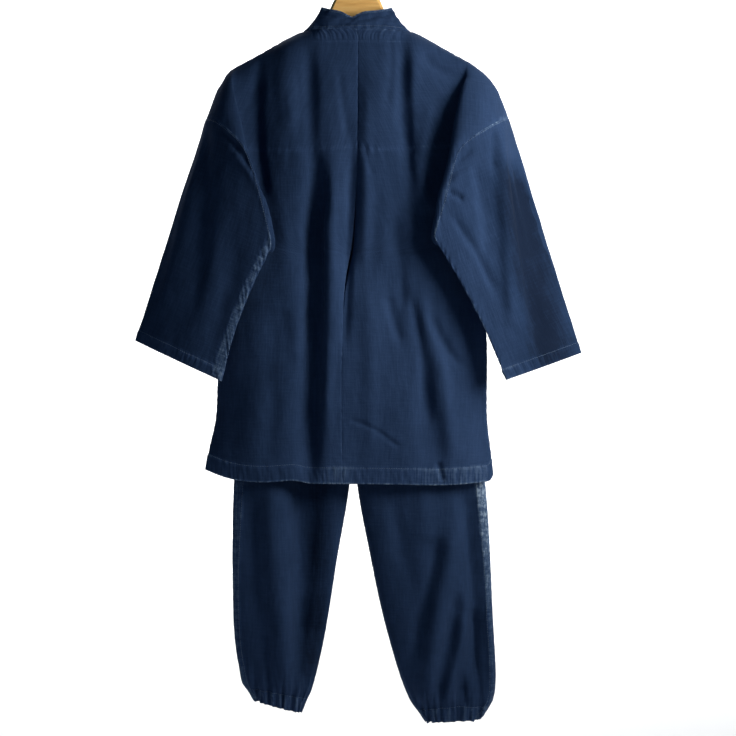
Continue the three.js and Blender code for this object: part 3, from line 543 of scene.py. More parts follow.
# %% Shader helpers
class Shader:
    """Short ways to add and join shader nodes."""

    def __init__(self, name):
        self.material = bpy.data.materials.new(name)
        self.material.use_nodes = True
        self.tree = self.material.node_tree
        self.surface = self.tree.nodes["Principled BSDF"]

    def add(self, kind, **values):
        made = self.tree.nodes.new(kind)
        for name, value in values.items():
            setattr(made, name, value)
        return made

    def link(self, output, target):
        self.tree.links.new(output, target)

    def maths(self, operation, a, b=0.0):
        made = self.add("ShaderNodeMath", operation=operation)
        for socket, value in zip(made.inputs, (a, b)):
            if isinstance(value, (int, float)):
                socket.default_value = value
            else:
                self.link(value, socket)
        return made.outputs[0]

    def noise(self, place, scale, stretch=(1, 1, 1), detail=2, rough=0.5):
        mapping = self.add("ShaderNodeMapping")
        mapping.inputs["Scale"].default_value = stretch
        made = self.add("ShaderNodeTexNoise")
        made.inputs["Scale"].default_value = scale
        made.inputs["Detail"].default_value = detail
        made.inputs["Roughness"].default_value = rough
        self.link(place, mapping.inputs["Vector"])
        self.link(mapping.outputs[0], made.inputs["Vector"])
        return made.outputs["Fac"]

    def spread(self, value, low, high):
        made = self.add("ShaderNodeMapRange")
        made.inputs["From Min"].default_value = low
        made.inputs["From Max"].default_value = high
        self.link(value, made.inputs["Value"])
        return made.outputs[0]

    def ramp(self, value, stops):
        made = self.add("ShaderNodeValToRGB")
        elements = made.color_ramp.elements
        while len(elements) < len(stops):
            elements.new(0.5)
        for element, (place, colour) in zip(elements, stops):
            element.position = place
            element.color = (*colour, 1)
        self.link(value, made.inputs["Fac"])
        return made.outputs["Color"]

    def bump(self, height, distance, strength=1.0, under=None):
        made = self.add("ShaderNodeBump")
        made.inputs["Strength"].default_value = strength
        made.inputs["Distance"].default_value = distance
        self.link(height, made.inputs["Height"])
        if under:
            self.link(under, made.inputs["Normal"])
        return made.outputs[0]


print("shorthands:", [name for name in vars(Shader) if not name.startswith("_")])

# %% [markdown]
# ## The dyed cotton
# Indigo cloth is never one blue. The yarn takes the dye in slubs, so fine pale flecks run down the
# cloth, and wear takes the dye off every edge that the wash rubs: seams, hems and the tops of
# puckers. One material reads this from the sheet itself, which carries its own flat coordinates in
# metres and three painted values: how worn a point is, and how much the thread gathers the cloth
# along or across it. The first value also carries painted shade: below zero it makes the cloth darker
# than its dye.

# %% Indigo cotton
INDIGO = ((0.0, (0.0035, 0.0095, 0.027)), (0.2, (0.0105, 0.0255, 0.066)), (0.44, (0.0210, 0.0440, 0.107)),
          (0.7, (0.070, 0.115, 0.205)), (1.0, (0.26, 0.34, 0.46)))
SHEEN_BLUE = (0.25, 0.4, 0.75, 1)
YARN, RIBS = 330, 150  # how fine the yarn and the puckers' ribs are


def indigo_cotton():
    """Plain-woven cotton, dark with its dye, pale where the wash has rubbed it, and darker where shade is
    painted on it.
    """
    shader = Shader("indigo_cotton")
    place = shader.add("ShaderNodeUVMap", uv_map="cloth").outputs[0]
    worn, across, down = (shader.add("ShaderNodeAttribute", attribute_name=name).outputs["Fac"]
                          for name in ("worn", "pucker_across", "pucker_down"))
    m = shader.maths

    slubs = shader.spread(shader.noise(place, YARN, (1.0, 0.10, 1), 2), 0.40, 0.70)
    picks = shader.spread(shader.noise(place, YARN, (0.12, 1.0, 1), 2), 0.40, 0.70)
    flecks = shader.spread(shader.noise(place, 420, (1.0, 0.45, 1), 2), 0.60, 0.78)
    clouds = shader.spread(shader.noise(place, 9, (1.3, 0.7, 1), 4, 0.55), 0.30, 0.70)
    ribs_across = shader.spread(shader.noise(place, RIBS, (1.0, 0.13, 1), 1), 0.36, 0.64)
    ribs_down = shader.spread(shader.noise(place, RIBS, (0.13, 1.0, 1), 1), 0.36, 0.64)

    pulled = m("ADD", m("MULTIPLY", ribs_across, across), m("MULTIPLY", ribs_down, down))
    patches = shader.spread(shader.noise(place, 170, (1.0, 0.8, 1), 2), 0.42, 0.62)
    mottled = m("ADD", m("MULTIPLY", patches, 0.75), m("MULTIPLY", slubs, 0.35))
    rubbed = m("MULTIPLY", m("MAXIMUM", worn, 0.0), mottled)
    streaks = shader.spread(shader.noise(place, 46, (1.0, 0.22, 1), 4, 0.6), 0.32, 0.72)
    pale = m("ADD", m("MULTIPLY", clouds, 0.17), m("MULTIPLY", streaks, 0.10))
    pale = m("ADD", pale, m("MULTIPLY", slubs, 0.09))
    pale = m("ADD", pale, m("MULTIPLY", m("ADD", picks, flecks), 0.06))
    pale = m("ADD", pale, m("MULTIPLY", pulled, 0.12))
    # the first painted value adds wear, which makes the cloth paler, and painted shade, which below zero
    # makes it darker
    pale = m("ADD", pale, m("ADD", m("MULTIPLY", worn, 0.22), m("MULTIPLY", rubbed, 0.55)))
    faded = m("ADD", m("MULTIPLY", pale, 0.8), 0.2)
    shader.link(shader.ramp(faded, INDIGO), shader.surface.inputs["Base Color"])
    shader.surface.inputs["Roughness"].default_value = 0.9
    shader.surface.inputs["Specular IOR Level"].default_value = 0.1
    shader.surface.inputs["Sheen Weight"].default_value = 0.05
    shader.surface.inputs["Sheen Roughness"].default_value = 0.5
    shader.surface.inputs["Sheen Tint"].default_value = SHEEN_BLUE

    waves = []
    for direction in ("X", "Y"):
        wave = shader.add("ShaderNodeTexWave", bands_direction=direction)
        wave.inputs["Scale"].default_value = 190
        wave.inputs["Distortion"].default_value = 1.0
        shader.link(place, wave.inputs["Vector"])
        waves.append(wave.outputs["Fac"])
    weave = m("MULTIPLY", m("MULTIPLY", *waves), 0.3)
    weave = m("ADD", weave, m("MULTIPLY", m("ADD", slubs, picks), 0.45))
    crumple = shader.noise(place, 62, (1.0, 0.75, 1), 3, 0.6)
    normal = shader.bump(weave, 0.0005, 0.55)
    normal = shader.bump(crumple, 0.0016, 0.5, normal)
    normal = shader.bump(pulled, 0.0010, 0.8, normal)
    shader.link(normal, shader.surface.inputs["Normal"])
    return shader.material


COTTON = indigo_cotton()
print("the cotton takes", len(COTTON.node_tree.nodes), "nodes")

# %% [markdown]
# ## The thread
# The thread was dyed with the cloth, but it lies on top and rubs first, so it is paler. All that can
# be seen of it is its twist, a fine unevenness in colour and height.

# %% Sewing thread
THREAD_BLUES = ((0.0, (0.035, 0.065, 0.125)), (1.0, (0.10, 0.16, 0.26)))


def sewing_thread():
    """Pale blue cotton thread, faded more than the cloth."""
    shader = Shader("sewing_thread")
    place = shader.add("ShaderNodeTexCoord").outputs["Object"]
    twist = shader.noise(place, 900, (1, 1, 1), 1)
    colour = shader.ramp(shader.spread(twist, 0.3, 0.7), THREAD_BLUES)
    shader.link(colour, shader.surface.inputs["Base Color"])
    shader.link(shader.bump(twist, 0.0002, 0.6), shader.surface.inputs["Normal"])
    shader.surface.inputs["Roughness"].default_value = 0.7
    return shader.material


THREAD = sewing_thread()
print("thread:", THREAD.name)

# %% [markdown]
# ## The hanger's wood and steel
# The wood is varnished beech: long grain along the arms, small darker flecks, and a thin clear coat
# that gives it a soft highlight. The hook and the clips are plated steel with fine lines along them
# from the drawing. Both come from stretched noise, since pale wood and brushed steel differ mostly in
# how far the noise is stretched.

# %% Hanger materials
WOOD_TONES = ((0.0, (0.74, 0.38, 0.10)), (0.5, (1.0, 0.57, 0.18)), (1.0, (1.0, 0.70, 0.28)))
STEEL_TONES = ((0.3, (0.52, 0.52, 0.53)), (0.7, (0.72, 0.72, 0.73)))
WOODEN = ("hanger_wood", "hanger_bar")


def varnished_wood():
    """Beech under a thin clear coat."""
    shader = Shader("varnished_wood")
    place = shader.add("ShaderNodeTexCoord").outputs["Object"]
    grain = shader.noise(place, 34, (0.35, 6, 6), 5, 0.6)
    pores = shader.spread(shader.noise(place, 260, (0.12, 3, 3), 2), 0.58, 0.72)
    tone = shader.maths("SUBTRACT", shader.spread(grain, 0.25, 0.75), shader.maths("MULTIPLY", pores, 0.35))
    shader.link(shader.ramp(tone, WOOD_TONES), shader.surface.inputs["Base Color"])
    shader.link(shader.bump(tone, 0.0003, 0.4), shader.surface.inputs["Normal"])
    shader.surface.inputs["Roughness"].default_value = 0.42
    shader.surface.inputs["Coat Weight"].default_value = 0.35
    shader.surface.inputs["Coat Roughness"].default_value = 0.18
    return shader.material


def drawn_steel():
    """Plated steel with fine lines along it."""
    shader = Shader("drawn_steel")
    place = shader.add("ShaderNodeTexCoord").outputs["Object"]
    lines = shader.noise(place, 420, (0.2, 1, 1), 3)
    shader.link(shader.ramp(lines, STEEL_TONES), shader.surface.inputs["Base Color"])
    rough = shader.maths("ADD", shader.maths("MULTIPLY", lines, 0.2), 0.18)
    shader.link(rough, shader.surface.inputs["Roughness"])
    shader.link(shader.bump(lines, 0.0001, 0.5), shader.surface.inputs["Normal"])
    shader.surface.inputs["Metallic"].default_value = 1.0
    return shader.material


WOOD = varnished_wood()
STEEL = drawn_steel()
for name, node in nodes.items():
    if name.startswith("hanger"):
        node.data.materials.clear()
        node.data.materials.append(WOOD if name in WOODEN else STEEL)
        print(name, "is of", node.data.materials[0].name)

# %% [markdown]
# ## Turning the sewn edges in
# On a real seam the cloth turns inwards as a seam allowance. Two rows of points added past each sewn
# edge do the same here, so two pieces meet in a groove and no light passes between them.

# %% Tucked edges
TUCK_MM = ((0.5, 0.25), (1.7, 2.0))  # out past the edge, and in under the face
POINT_VALUES = ("worn", "pucker_across", "pucker_down")


def tucked(sheet, edges):
    """The sheet's points, flat coordinates and painted values with its sewn edges turned in."""
    points, normals, flat = sheet.points, sheet.normals, sheet.flat
    values = np.stack([getattr(sheet, name) for name in POINT_VALUES], -1)
    for axis, last in edges:
        def edge_of(array, back=0):
            return np.take(array, [-1 - back if last else back], axis=axis)

        away = edge_of(points) - edge_of(points, 1)
        away = away / np.maximum(np.linalg.norm(away, axis=2, keepdims=True), 1e-9)
        turned = [edge_of(points) + away * out - edge_of(normals) * deep for out, deep in TUCK_MM]
        order = [points, *turned] if last else [*turned[::-1], points]
        points = np.concatenate(order, axis)

        def grown(array):
            edge = [edge_of(array)] * 2
            return np.concatenate([array, *edge] if last else [*edge, array], axis)

        normals, flat, values = grown(normals), grown(flat), grown(values)
    return points, flat, values


print("rows of a tie with its ends turned in:", tucked(tie, ((0, False), (0, True)))[0].shape[0])

# %% [markdown]
# ## From rows and columns to a mesh
# A sheet becomes quads whose flat coordinates follow the grain of the cloth, so that the weave runs
# as the tailor cut it. The painted values go along as attributes of the points, where the material
# finds them by name.

# %% A mesh of cloth
def mesh_of(sheet, edges):
    """The sheet as a mesh of quads, its listed edges tucked in."""
    points, flat, values = tucked(sheet, edges)
    rows, columns = points.shape[:2]
    index = np.arange(rows * columns).reshape(rows, columns)
    if sheet.closed:
        index = np.concatenate([index, index[:, :1]], 1)

    def cells(array):
        corners = np.stack([array[:-1, :-1], array[:-1, 1:], array[1:, 1:], array[1:, :-1]], 2)
        corners = corners.reshape(-1, 4, *array.shape[2:])
        return corners[:, ::-1] if sheet.facing < 0 else corners

    mesh = bpy.data.meshes.new(sheet.name + "_cloth")
    mesh.from_pydata((points.reshape(-1, 3) / 1000).tolist(), [], cells(index).tolist())
    layer = mesh.uv_layers.new(name="cloth")
    layer.data.foreach_set("uv", (cells(flat) / 1000).ravel())
    for i, name in enumerate(POINT_VALUES):
        painted = mesh.attributes.new(name, "FLOAT", "POINT")
        painted.data.foreach_set("value", values[..., i].ravel())
    mesh.polygons.foreach_set("use_smooth", [True] * len(mesh.polygons))
    return mesh


def show(name, mesh, material):
    """The mesh as an object of the suit."""
    made = bpy.data.objects.new(name, mesh)
    bpy.context.scene.collection.objects.link(made)
    mesh.materials.append(material)
    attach(made, "root")
    return made


print("a mesh of cloth carries the values", POINT_VALUES)

# %% [markdown]
# ## Stitches
# A line of stitches is a contour on the sheet: every point at one distance from an edge. A contour is
# found column by column, or row by row, as the place where the distance reaches the value.

# %% Contours
def contour(field, value, down=True):
    """The (row, column) places where a field that grows or falls along the sheet has the value."""
    lines = field.T if down else field
    places = []
    for k, line in enumerate(lines):
        rising = line if line[0] < line[-1] else line[::-1]
        if rising[0] <= value <= rising[-1]:
            at = np.interp(value, rising, np.arange(len(line)))
            at = at if line[0] < line[-1] else len(line) - 1 - at
            places.append((at, k) if down else (k, at))
    return np.array(places, float).reshape(-1, 2)


def on_sheet(array, places):
    """The array's values between its rows and columns."""
    rows, columns = places[:, 0], places[:, 1]
    r = np.clip(rows.astype(int), 0, array.shape[0] - 2)
    c = np.clip(columns.astype(int), 0, array.shape[1] - 2)
    fr, fc = (rows - r)[:, None], (columns - c)[:, None]
    upper = array[r, c] * (1 - fc) + array[r, c + 1] * fc
    lower = array[r + 1, c] * (1 - fc) + array[r + 1, c + 1] * fc
    return upper * (1 - fr) + lower * fr


print("places on a tie 5 mm from its end:", len(contour(tie.from_bottom, 5)))

# %% [markdown]
# ## Sewing along a contour
# Each stitch is a short thread lying on the cloth with its ends pulled in, so it follows every pucker
# and fold under it. A texture could draw them, but these catch the light and can be counted.

# %% Sewing
STITCH_MM, PITCH_MM, THREAD_MM = 2.9, 3.9, 0.30
STITCH_PLACES = np.array([0, 0.3, 0.7, 1.0])
STITCH_RISE_MM = np.array([-0.15, 0.22, 0.22, -0.15])
THREAD_CORNERS_MM = ((-THREAD_MM, 0), (0, THREAD_MM), (THREAD_MM, 0), (0, -THREAD_MM))


def sewing(sheet, lines):
    """One mesh of all the stitches along these lines of places."""
    vertices, faces = [], []
    for places in lines:
        if len(places) < 3:
            continue
        path, out = on_sheet(sheet.points, places), on_sheet(sheet.normals, places)
        lengths = np.concatenate([[0], np.cumsum(np.linalg.norm(np.diff(path, axis=0), axis=1))])
        starts = np.arange(1.0, lengths[-1] - STITCH_MM, PITCH_MM)
        marks = starts[:, None] + STITCH_PLACES * STITCH_MM
        spots = np.stack([np.interp(marks, lengths, path[:, k]) for k in range(3)], -1)
        lifts = np.stack([np.interp(marks, lengths, out[:, k]) for k in range(3)], -1)
        ahead = spots[:, -1] - spots[:, 0]
        side = np.cross(lifts, ahead[:, None])
        side = side / np.maximum(np.linalg.norm(side, axis=2, keepdims=True), 1e-9)
        middle = spots + lifts * STITCH_RISE_MM[None, :, None]
        ring = [middle + side * a + lifts * b for a, b in THREAD_CORNERS_MM]
        ring = np.stack(ring, 2).reshape(-1, 3)
        base = sum(len(v) for v in vertices)
        vertices.append(ring)
        for k in range(len(starts)):
            for j in range(3):
                first = base + k * 16 + j * 4
                for n in range(4):
                    m = (n + 1) % 4
                    faces.append((first + n, first + m, first + 4 + m, first + 4 + n))
    mesh = bpy.data.meshes.new(sheet.name + "_stitches")
    mesh.from_pydata((np.concatenate(vertices) / 1000).tolist(), [], faces)
    mesh.polygons.foreach_set("use_smooth", [True] * len(mesh.polygons))
    return show(sheet.name + "_stitches", mesh, THREAD)


print("a stitch is", STITCH_MM, "mm long and begins", PITCH_MM, "mm after the last")

# %% [markdown]
# ## Hanging a sheet in place of its wall
# Solidify gives the cloth its thickness inwards, so the outside stays where the wall was. The wall
# that the cloth replaces is hidden.

# %% Hanging a sheet
CLOTH_MM = 1.2


def hang(sheet, edges=(), stitches=None):
    """The sheet as a piece of the scene, in place of its wall, with the stitches sewn on it."""
    cloth = show(sheet.name + "_cloth", mesh_of(sheet, edges), COTTON)
    shell = cloth.modifiers.new("thickness", "SOLIDIFY")
    shell.thickness = CLOTH_MM / 1000
    shell.offset = -1
    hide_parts(sheet.name)
    sewn = [sewing(sheet, stitches)] if stitches else []
    return cloth


print("cloth", CLOTH_MM, "mm thick")

# %% [markdown]
# ## The folds of the back
# The two back panels hang between the shoulders in one deep pleat left of the centre and smaller ones
# to the right, all falling from where the neck and the shoulders pull. Heights are millimetres off
# the smooth cloth, and paths are (x, z) in millimetres in the hanging plane. The second fold of the
# table is the deep pleat.

# %% The folds of the back
BACK = [
    (-8, 13, 11, [(-79, -160), (-79, -329), (-63, -382), (-64, -434)]),
    (-19, 18, 13, [(-68, -350), (-67, -455), (-67, -560), (-69, -640), (-72, -740), (-78, -900)]),
    (9, 13, 11, [(-46, -400), (-44, -520), (-45, -640), (-50, -800)]),
    (5, 18, 16, [(-122, -165), (-125, -300), (-122, -413), (-111, -562)]),
    (-4, 5, 7, [(-30, -200), (-24, -258), (-14, -320)]),
    (-5, 8, 10, [(-157, -178), (-168, -232), (-177, -262)]),
    (-14, 14, 9, [(-158, -200), (-163, -270), (-160, -340), (-150, -420)]),
    (3, 4, 7, [(-111, -236), (-111, -256), (-106, -290)]),
    (-4, 14, 16, [(-120, -590), (-116, -640), (-110, -690)]),
    (3, 18, 14, [(-150, -560), (-158, -680), (-160, -800)]),
    (-3, 12, 14, [(-135, -720), (-140, -800), (-142, -850)]),
    (-6, 9, 10, [(71, -150), (75, -240), (78, -329), (89, -410), (100, -470)]),
    (6, 8, 10, [(93, -170), (92, -250), (93, -329), (108, -420)]),
    (-8, 9, 8, [(107, -172), (124, -196), (150, -210), (188, -214)]),
    (4, 16, 14, [(34, -170), (40, -300), (48, -420), (40, -560)]),
    (-4, 6, 8, [(52, -130), (58, -190), (50, -262)]),
    (-3, 5, 6, [(-100, -200), (-92, -262), (-96, -318)]),
    (3, 6, 7, [(120, -250), (112, -300), (104, -372)]),
    (-7, 16, 12, [(150, -240), (148, -300), (135, -360), (122, -430)]),
    (13, 48, 26, [(162, -150), (162, -230), (152, -300), (136, -380), (122, -450)]),
    (-4, 4, 5, [(10, -322), (17, -350), (25, -380)]),
    (-8, 7, 7, [(-5, -320), (-9, -420), (-13, -510), (-20, -660)]),
    (4, 9, 9, [(14, -330), (16, -420), (12, -540)]),
    (-6, 10, 12, [(70, -262), (80, -310), (92, -352)]),
    (-5, 10, 10, [(60, -440), (72, -520), (74, -600)]),
    (-3.5, 3.5, 3, [(-14, -774), (10, -780), (38, -795), (72, -820)]),
    (6, 12, 12, [(92, -560), (112, -620), (139, -695), (150, -783), (158, -850)]),
    (-7, 9, 12, [(88, -560), (104, -650), (111, -710), (120, -790)]),
    (-6, 6, 8, [(118, -600), (136, -640), (150, -664), (172, -688)]),
    (-4, 7, 9, [(48, -570), (58, -608), (70, -650)]),
    (-5, 4, 5, [(131, -842), (135, -856), (141, -876)]),
    (4, 14, 14, [(20, -560), (22, -700), (24, -850)]),
]
print("folds in the back:", len(BACK))

# %% [markdown]
# ## The two back panels
# Each panel gets its folds first and its seams after them, since a seam holds the cloth down where it
# is sewn. A faint row of stitches crosses below the shoulders, where a doubled layer inside is caught
# to the outside. The left side of the cloth is darkened with painted shade.

# %% The back panels
LINING_STITCH_Z = -331
NECK_EDGE_Z = -156
NECK_HALF = 74  # half the width of the neck
HEM_DEPTH = 28
STITCH_IN = 2  # how far the stitches lie inside the turned edge
# how dark the painted shade on the left side is
LEFT_SHADE = 0.7
PANEL_EDGES = ((1, False), (1, True), (0, False))  # both sides and the top


def paint_left_shade(sheet, share):
    """Painted shade that darkens the cloth by the given share, apart from what is rubbed pale; it is laid
    on the left side of the suit.
    """
    sheet.worn -= LEFT_SHADE * share * (1 - np.clip(2 * sheet.worn, 0, 1))


for side, seed in (("left", 1.0), ("right", 4.0)):
    sheet = Sheet("jacket_back_" + side, 2.9, fine_top=24, fine_bottom=36)
    free = 1 - near(np.minimum(sheet.from_first, sheet.from_top), 9)
    weathered(sheet, 1.0, free)
    lower = np.interp(-sheet.points[..., 2], (380, 460), (0.55, 0.85))
    sheet.push(crease_heights(sheet, BACK) * free * lower)
    sheet.refresh()
    x, z = sheet.points[..., 0], sheet.points[..., 2]
    seam(sheet, sheet.from_last, sheet.from_top, "down", 0.22, seed, 0.2)
    seam(sheet, sheet.from_first, sheet.from_top, "down", 0.45, seed + 1, 0.5)
    neck = step_down(abs(x), NECK_HALF, 4)
    seam(sheet, sheet.from_top, x, "across", 0.9, seed + 2, 0.3)
    gathered = step_down(abs(sheet.from_top - 8), 9) * neck
    sheet.pucker_across = np.maximum(sheet.pucker_across, gathered)
    lining = abs(z - LINING_STITCH_Z - 3 * np.sin(x / 40 + seed)) + 60 * (sheet.from_first < 28)
    sheet.push(near(lining, 1.8) * -0.5 + near(lining, 9) * ripple(x, 15, seed) * 0.5)
    sheet.pucker_across = np.maximum(sheet.pucker_across, near(lining, 7) * 0.45)
    sheet.worn = np.maximum(sheet.worn, near(lining, 3) * 0.18)
    sheet.worn = np.maximum(sheet.worn, near(abs(z - NECK_EDGE_Z), 1.5) * neck * 0.3)
    hem(sheet, sheet.from_bottom, x, HEM_DEPTH, 1.0, seed)
    # painted shade darkens the back towards its left side
    paint_left_shade(sheet, np.clip((-60 - x) / 70, 0, 1))
    sheet.refresh()
    hang(sheet, PANEL_EDGES, [contour(sheet.from_bottom, HEM_DEPTH - STITCH_IN)])
    print(sheet.name, sheet.points.shape[:2])

# %% [markdown]
# ## The folds of the sleeves
# A wide straight sleeve set low on the arm hangs as a flat tube, folded along its top edge and its
# underarm seam. It leans against the body, so the folds start at the armhole and run down. The front
# layer's folds are one table, which is mirrored for the other side. The last table is no fold: it
# says where painted shade darkens the outer lower side of the right sleeve.

# %% The folds of the sleeves
SLEEVE_LEFT = [
    (-4, 14, 12, [(-247, -285), (-248, -380), (-252, -470)]),
    (-5, 5, 9, [(-222, -298), (-196, -332), (-155, -387)]),
    (4, 8, 9, [(-200, -340), (-167, -380), (-150, -400)]),
    (1.2, 16, 16, [(-215, -420), (-235, -520), (-262, -640)]),
]
SLEEVE_RIGHT = [
    (7, 12, 13, [(238, -294), (240, -400), (243, -520), (252, -640)]),
    (-13, 14, 30, [(248, -300), (266, -406), (284, -540), (300, -660)]),
    (-6, 5, 7, [(222, -300), (222, -330), (221, -372)]),
    (-6, 4, 5, [(134, -392), (152, -410), (174, -420)]),
    (5, 6, 5, [(136, -378), (156, -384), (186, -372)]),
    (-4, 4, 5, [(140, -362), (160, -356), (188, -340)]),
    (-4, 9, 12, [(190, -360), (205, -440), (212, -520)]),
    (-4, 6, 8, [(150, -440), (190, -500), (225, -570)]),
]
FRONT_SLEEVE = [
    (-6, 12, 12, [(170, -300), (215, -420), (260, -560)]),
    (5, 12, 12, [(240, -330), (285, -500), (320, -640)]),
    (-5, 9, 9, [(215, -300), (245, -420), (270, -520)]),
]
# painted shade down the outer lower side of the right sleeve: a darkening, no fold
RIGHT_SLEEVE_SHADE = [(-2.2, 34, 60, [(248, -330), (272, -500), (298, -600), (320, -740)])]


def mirrored(creases):
    """The same creases on the other side of the suit."""
    return [(height, after, before, [(-x, z) for x, z in path]) for height, before, after, path in creases]


print("a mirrored fold:", mirrored(FRONT_SLEEVE)[0])

# %% [markdown]
# ## The two sleeves
# The grain runs down the arm, so it slants in the picture plane. The armhole seam is felled and
# stitched, and its lips are among the palest lines of the jacket. On the left sleeve the underarm
# seam has rolled to the back, where it shows as a puckered, mottled strip.

# %% The sleeves
CUFF_DEPTH = 20
ARMHOLE_STITCH = 2.5
STRIP_HALF = 22  # half the width of the mottled strip
STRIP_TOP_Z = -440
SLEEVES = (("left", SLEEVE_LEFT, (-0.40, -0.92), 7.0), ("right", SLEEVE_RIGHT, (0.40, -0.92), 9.0))

for side, creases, grain, seed in SLEEVES:
    sheet = Sheet("jacket_sleeve_" + side, 3.2, grain, fine_top=14, fine_bottom=30)
    back = np.clip(-sheet.normals[..., 1] * 1.6, 0, 1)
    front = np.clip(sheet.normals[..., 1] * 1.6, 0, 1)
    hidden = FRONT_SLEEVE if side == "right" else mirrored(FRONT_SLEEVE)
    free = 1 - near(sheet.from_top, 9)
    weathered(sheet, seed, free)
    sheet.push((crease_heights(sheet, creases) * back + crease_heights(sheet, hidden) * front) * free)
    sheet.refresh()
    along = sheet.flat[:, : sheet.points.shape[1], 0]
    pale = 1.2 if side == "right" else 1.2 * np.clip((sheet.points[..., 2] + 345) / 40, 0.12, 1)
    seam(sheet, sheet.from_top, along, "across", 1.0, seed, pale)
    inner = abs(sheet.points[..., 0]).argmin(1)
    inner_run = np.array([sheet.from_first[row, column] for row, column in enumerate(inner)])
    strip = abs(sheet.from_first - inner_run[:, None])
    seam(sheet, strip, sheet.from_top, "down", 0.8, seed + 1)
    if side == "left":
        band = step_down(strip, STRIP_HALF, 3) * back * step_down(sheet.points[..., 2], STRIP_TOP_Z, 8)
        sheet.pucker_down = np.maximum(sheet.pucker_down, band)
        sheet.worn = np.maximum(sheet.worn, band * 0.5)
        sheet.push(band * ripple(sheet.from_top, 15, seed) * 0.7)
    hem(sheet, sheet.from_bottom, along, CUFF_DEPTH, 0.9, seed)
    # painted shade on the right sleeve's back face, down its outer lower side
    if side == "right":
        sheet.worn += crease_heights(sheet, RIGHT_SLEEVE_SHADE) * back
    else:
        # painted shade over the back face of the left sleeve
        paint_left_shade(sheet, back)
    sheet.refresh()
    cuff = contour(sheet.from_bottom, CUFF_DEPTH - STITCH_IN)
    hang(sheet, ((0, False),), [cuff, contour(sheet.from_top, ARMHOLE_STITCH)])
    print(sheet.name, sheet.points.shape[:2])

# %% [markdown]
# ## The two fronts
# The fronts cross over, the wearer's left one on top. They hang from the same shoulders as the back,
# so their folds are alike on both sides: one table serves for both.

# %% The fronts
FRONT_RIGHT = [
    (-8, 10, 11, [(110, -200), (112, -340), (98, -500)]),
    (6, 12, 12, [(140, -220), (138, -380), (126, -560)]),
    (-7, 10, 12, [(80, -520), (92, -660), (96, -840)]),
    (5, 12, 14, [(150, -560), (156, -700), (150, -850)]),
]

for side, seed in (("left", 12.0), ("right", 14.0)):
    sheet = Sheet("jacket_front_" + side, 4.2, fine_bottom=34)
    free = 1 - near(np.minimum(np.minimum(sheet.from_first, sheet.from_top), sheet.from_last), 9)
    weathered(sheet, seed, free)
    sheet.push(crease_heights(sheet, FRONT_RIGHT if side == "right" else mirrored(FRONT_RIGHT)) * free)
    sheet.refresh()
    seam(sheet, sheet.from_first, sheet.from_top, "down", 1.0, seed)
    seam(sheet, sheet.from_last, sheet.from_top, "down", 0.7, seed + 1)
    seam(sheet, sheet.from_top, sheet.points[..., 0], "across", 0.7, seed + 2)
    hem(sheet, sheet.from_bottom, sheet.points[..., 0], HEM_DEPTH, 1.0, seed)
    sheet.refresh()
    hang(sheet, PANEL_EDGES, [contour(sheet.from_bottom, HEM_DEPTH - STITCH_IN)])
    print(sheet.name, sheet.points.shape[:2])

# %% [markdown]
# ## The collar
# One doubled band runs up one front, round the neck and down the other. Behind the neck its top edge
# sags between the hanger's arms and leans in a little, and short slanting creases cross it. Its rows
# run along the band, and its columns from the seam to the free edge.

# %% The collar
COLLAR_BACK = [
    (-2.6, 3, 4, [(-84, -122), (-52, -130), (-8, -128)]),
    (-2.2, 3, 3, [(-62, -108), (-34, -117), (-2, -121)]),
    (-2.2, 3, 4, [(4, -122), (32, -115), (60, -112)]),
    (-1.8, 3, 3, [(16, -131), (46, -127), (80, -134)]),
]
SAG, LEAN = 9, 0.16
COLLAR_STITCH = 4

collar = Sheet("jacket_collar", 2.6)
outer = collar.from_first / np.maximum(collar.from_first[:, -1:], 1)
behind = np.clip((-20 - collar.points[..., 1]) / 6 + 1, 0, 1) * (collar.points[..., 2] > -170)
sag = near(collar.points[..., 0] + 10, 15) * outer**1.5 * behind
collar.points[..., 2] -= SAG * sag + 3 * outer**2 * behind
collar.points[..., 0] -= np.clip(collar.points[..., 0] * LEAN, -9, 7) * outer**2 * behind
collar.push(crease_heights(collar, COLLAR_BACK) * behind)
seam(collar, collar.from_first, collar.from_top, "down", 1.0, 2.0, 0.3)
collar.push(near(collar.from_last, 2.5) * 0.5)
collar.push(ripple(collar.from_top + collar.from_first * 0.5, 21, 3.0) * 0.7)
collar.worn = np.maximum(collar.worn, near(collar.from_last, 2.6) * 1.1)
collar.pucker_down = np.maximum(collar.pucker_down, near(abs(collar.from_first - 9), 14) * 0.7)
collar.refresh()
edges = (collar.from_first, collar.from_last)
hang(collar, ((1, False),), [contour(edge, COLLAR_STITCH, False) for edge in edges])
print("collar", collar.points.shape[:2])

# %% [markdown]
# ## The ties
# A tie is a narrow strip folded and sewn shut, so it is stiff and has no folds of its own, only a
# slight ripple and paler edges.

# %% The ties
for side in ("left", "right"):
    tie = Sheet("jacket_tie_" + side, 2.6)
    tie.push(ripple(tie.from_top, 24, 1.0 if side == "left" else 5.0) * 0.3)
    tie.worn = near(np.minimum(tie.from_first, tie.from_last), 1.6) * 0.6
    tie.refresh()
    hang(tie)
    print(tie.name, round(tie.length), "mm long")

# %% [markdown]
# ## The folds of the legs
# The legs hang inside the jacket from the waistband and show from the thigh down. The left leg falls
# in one broad fold with a deep trough inside it. The right one is fuller, and its folds break towards
# the ankle.

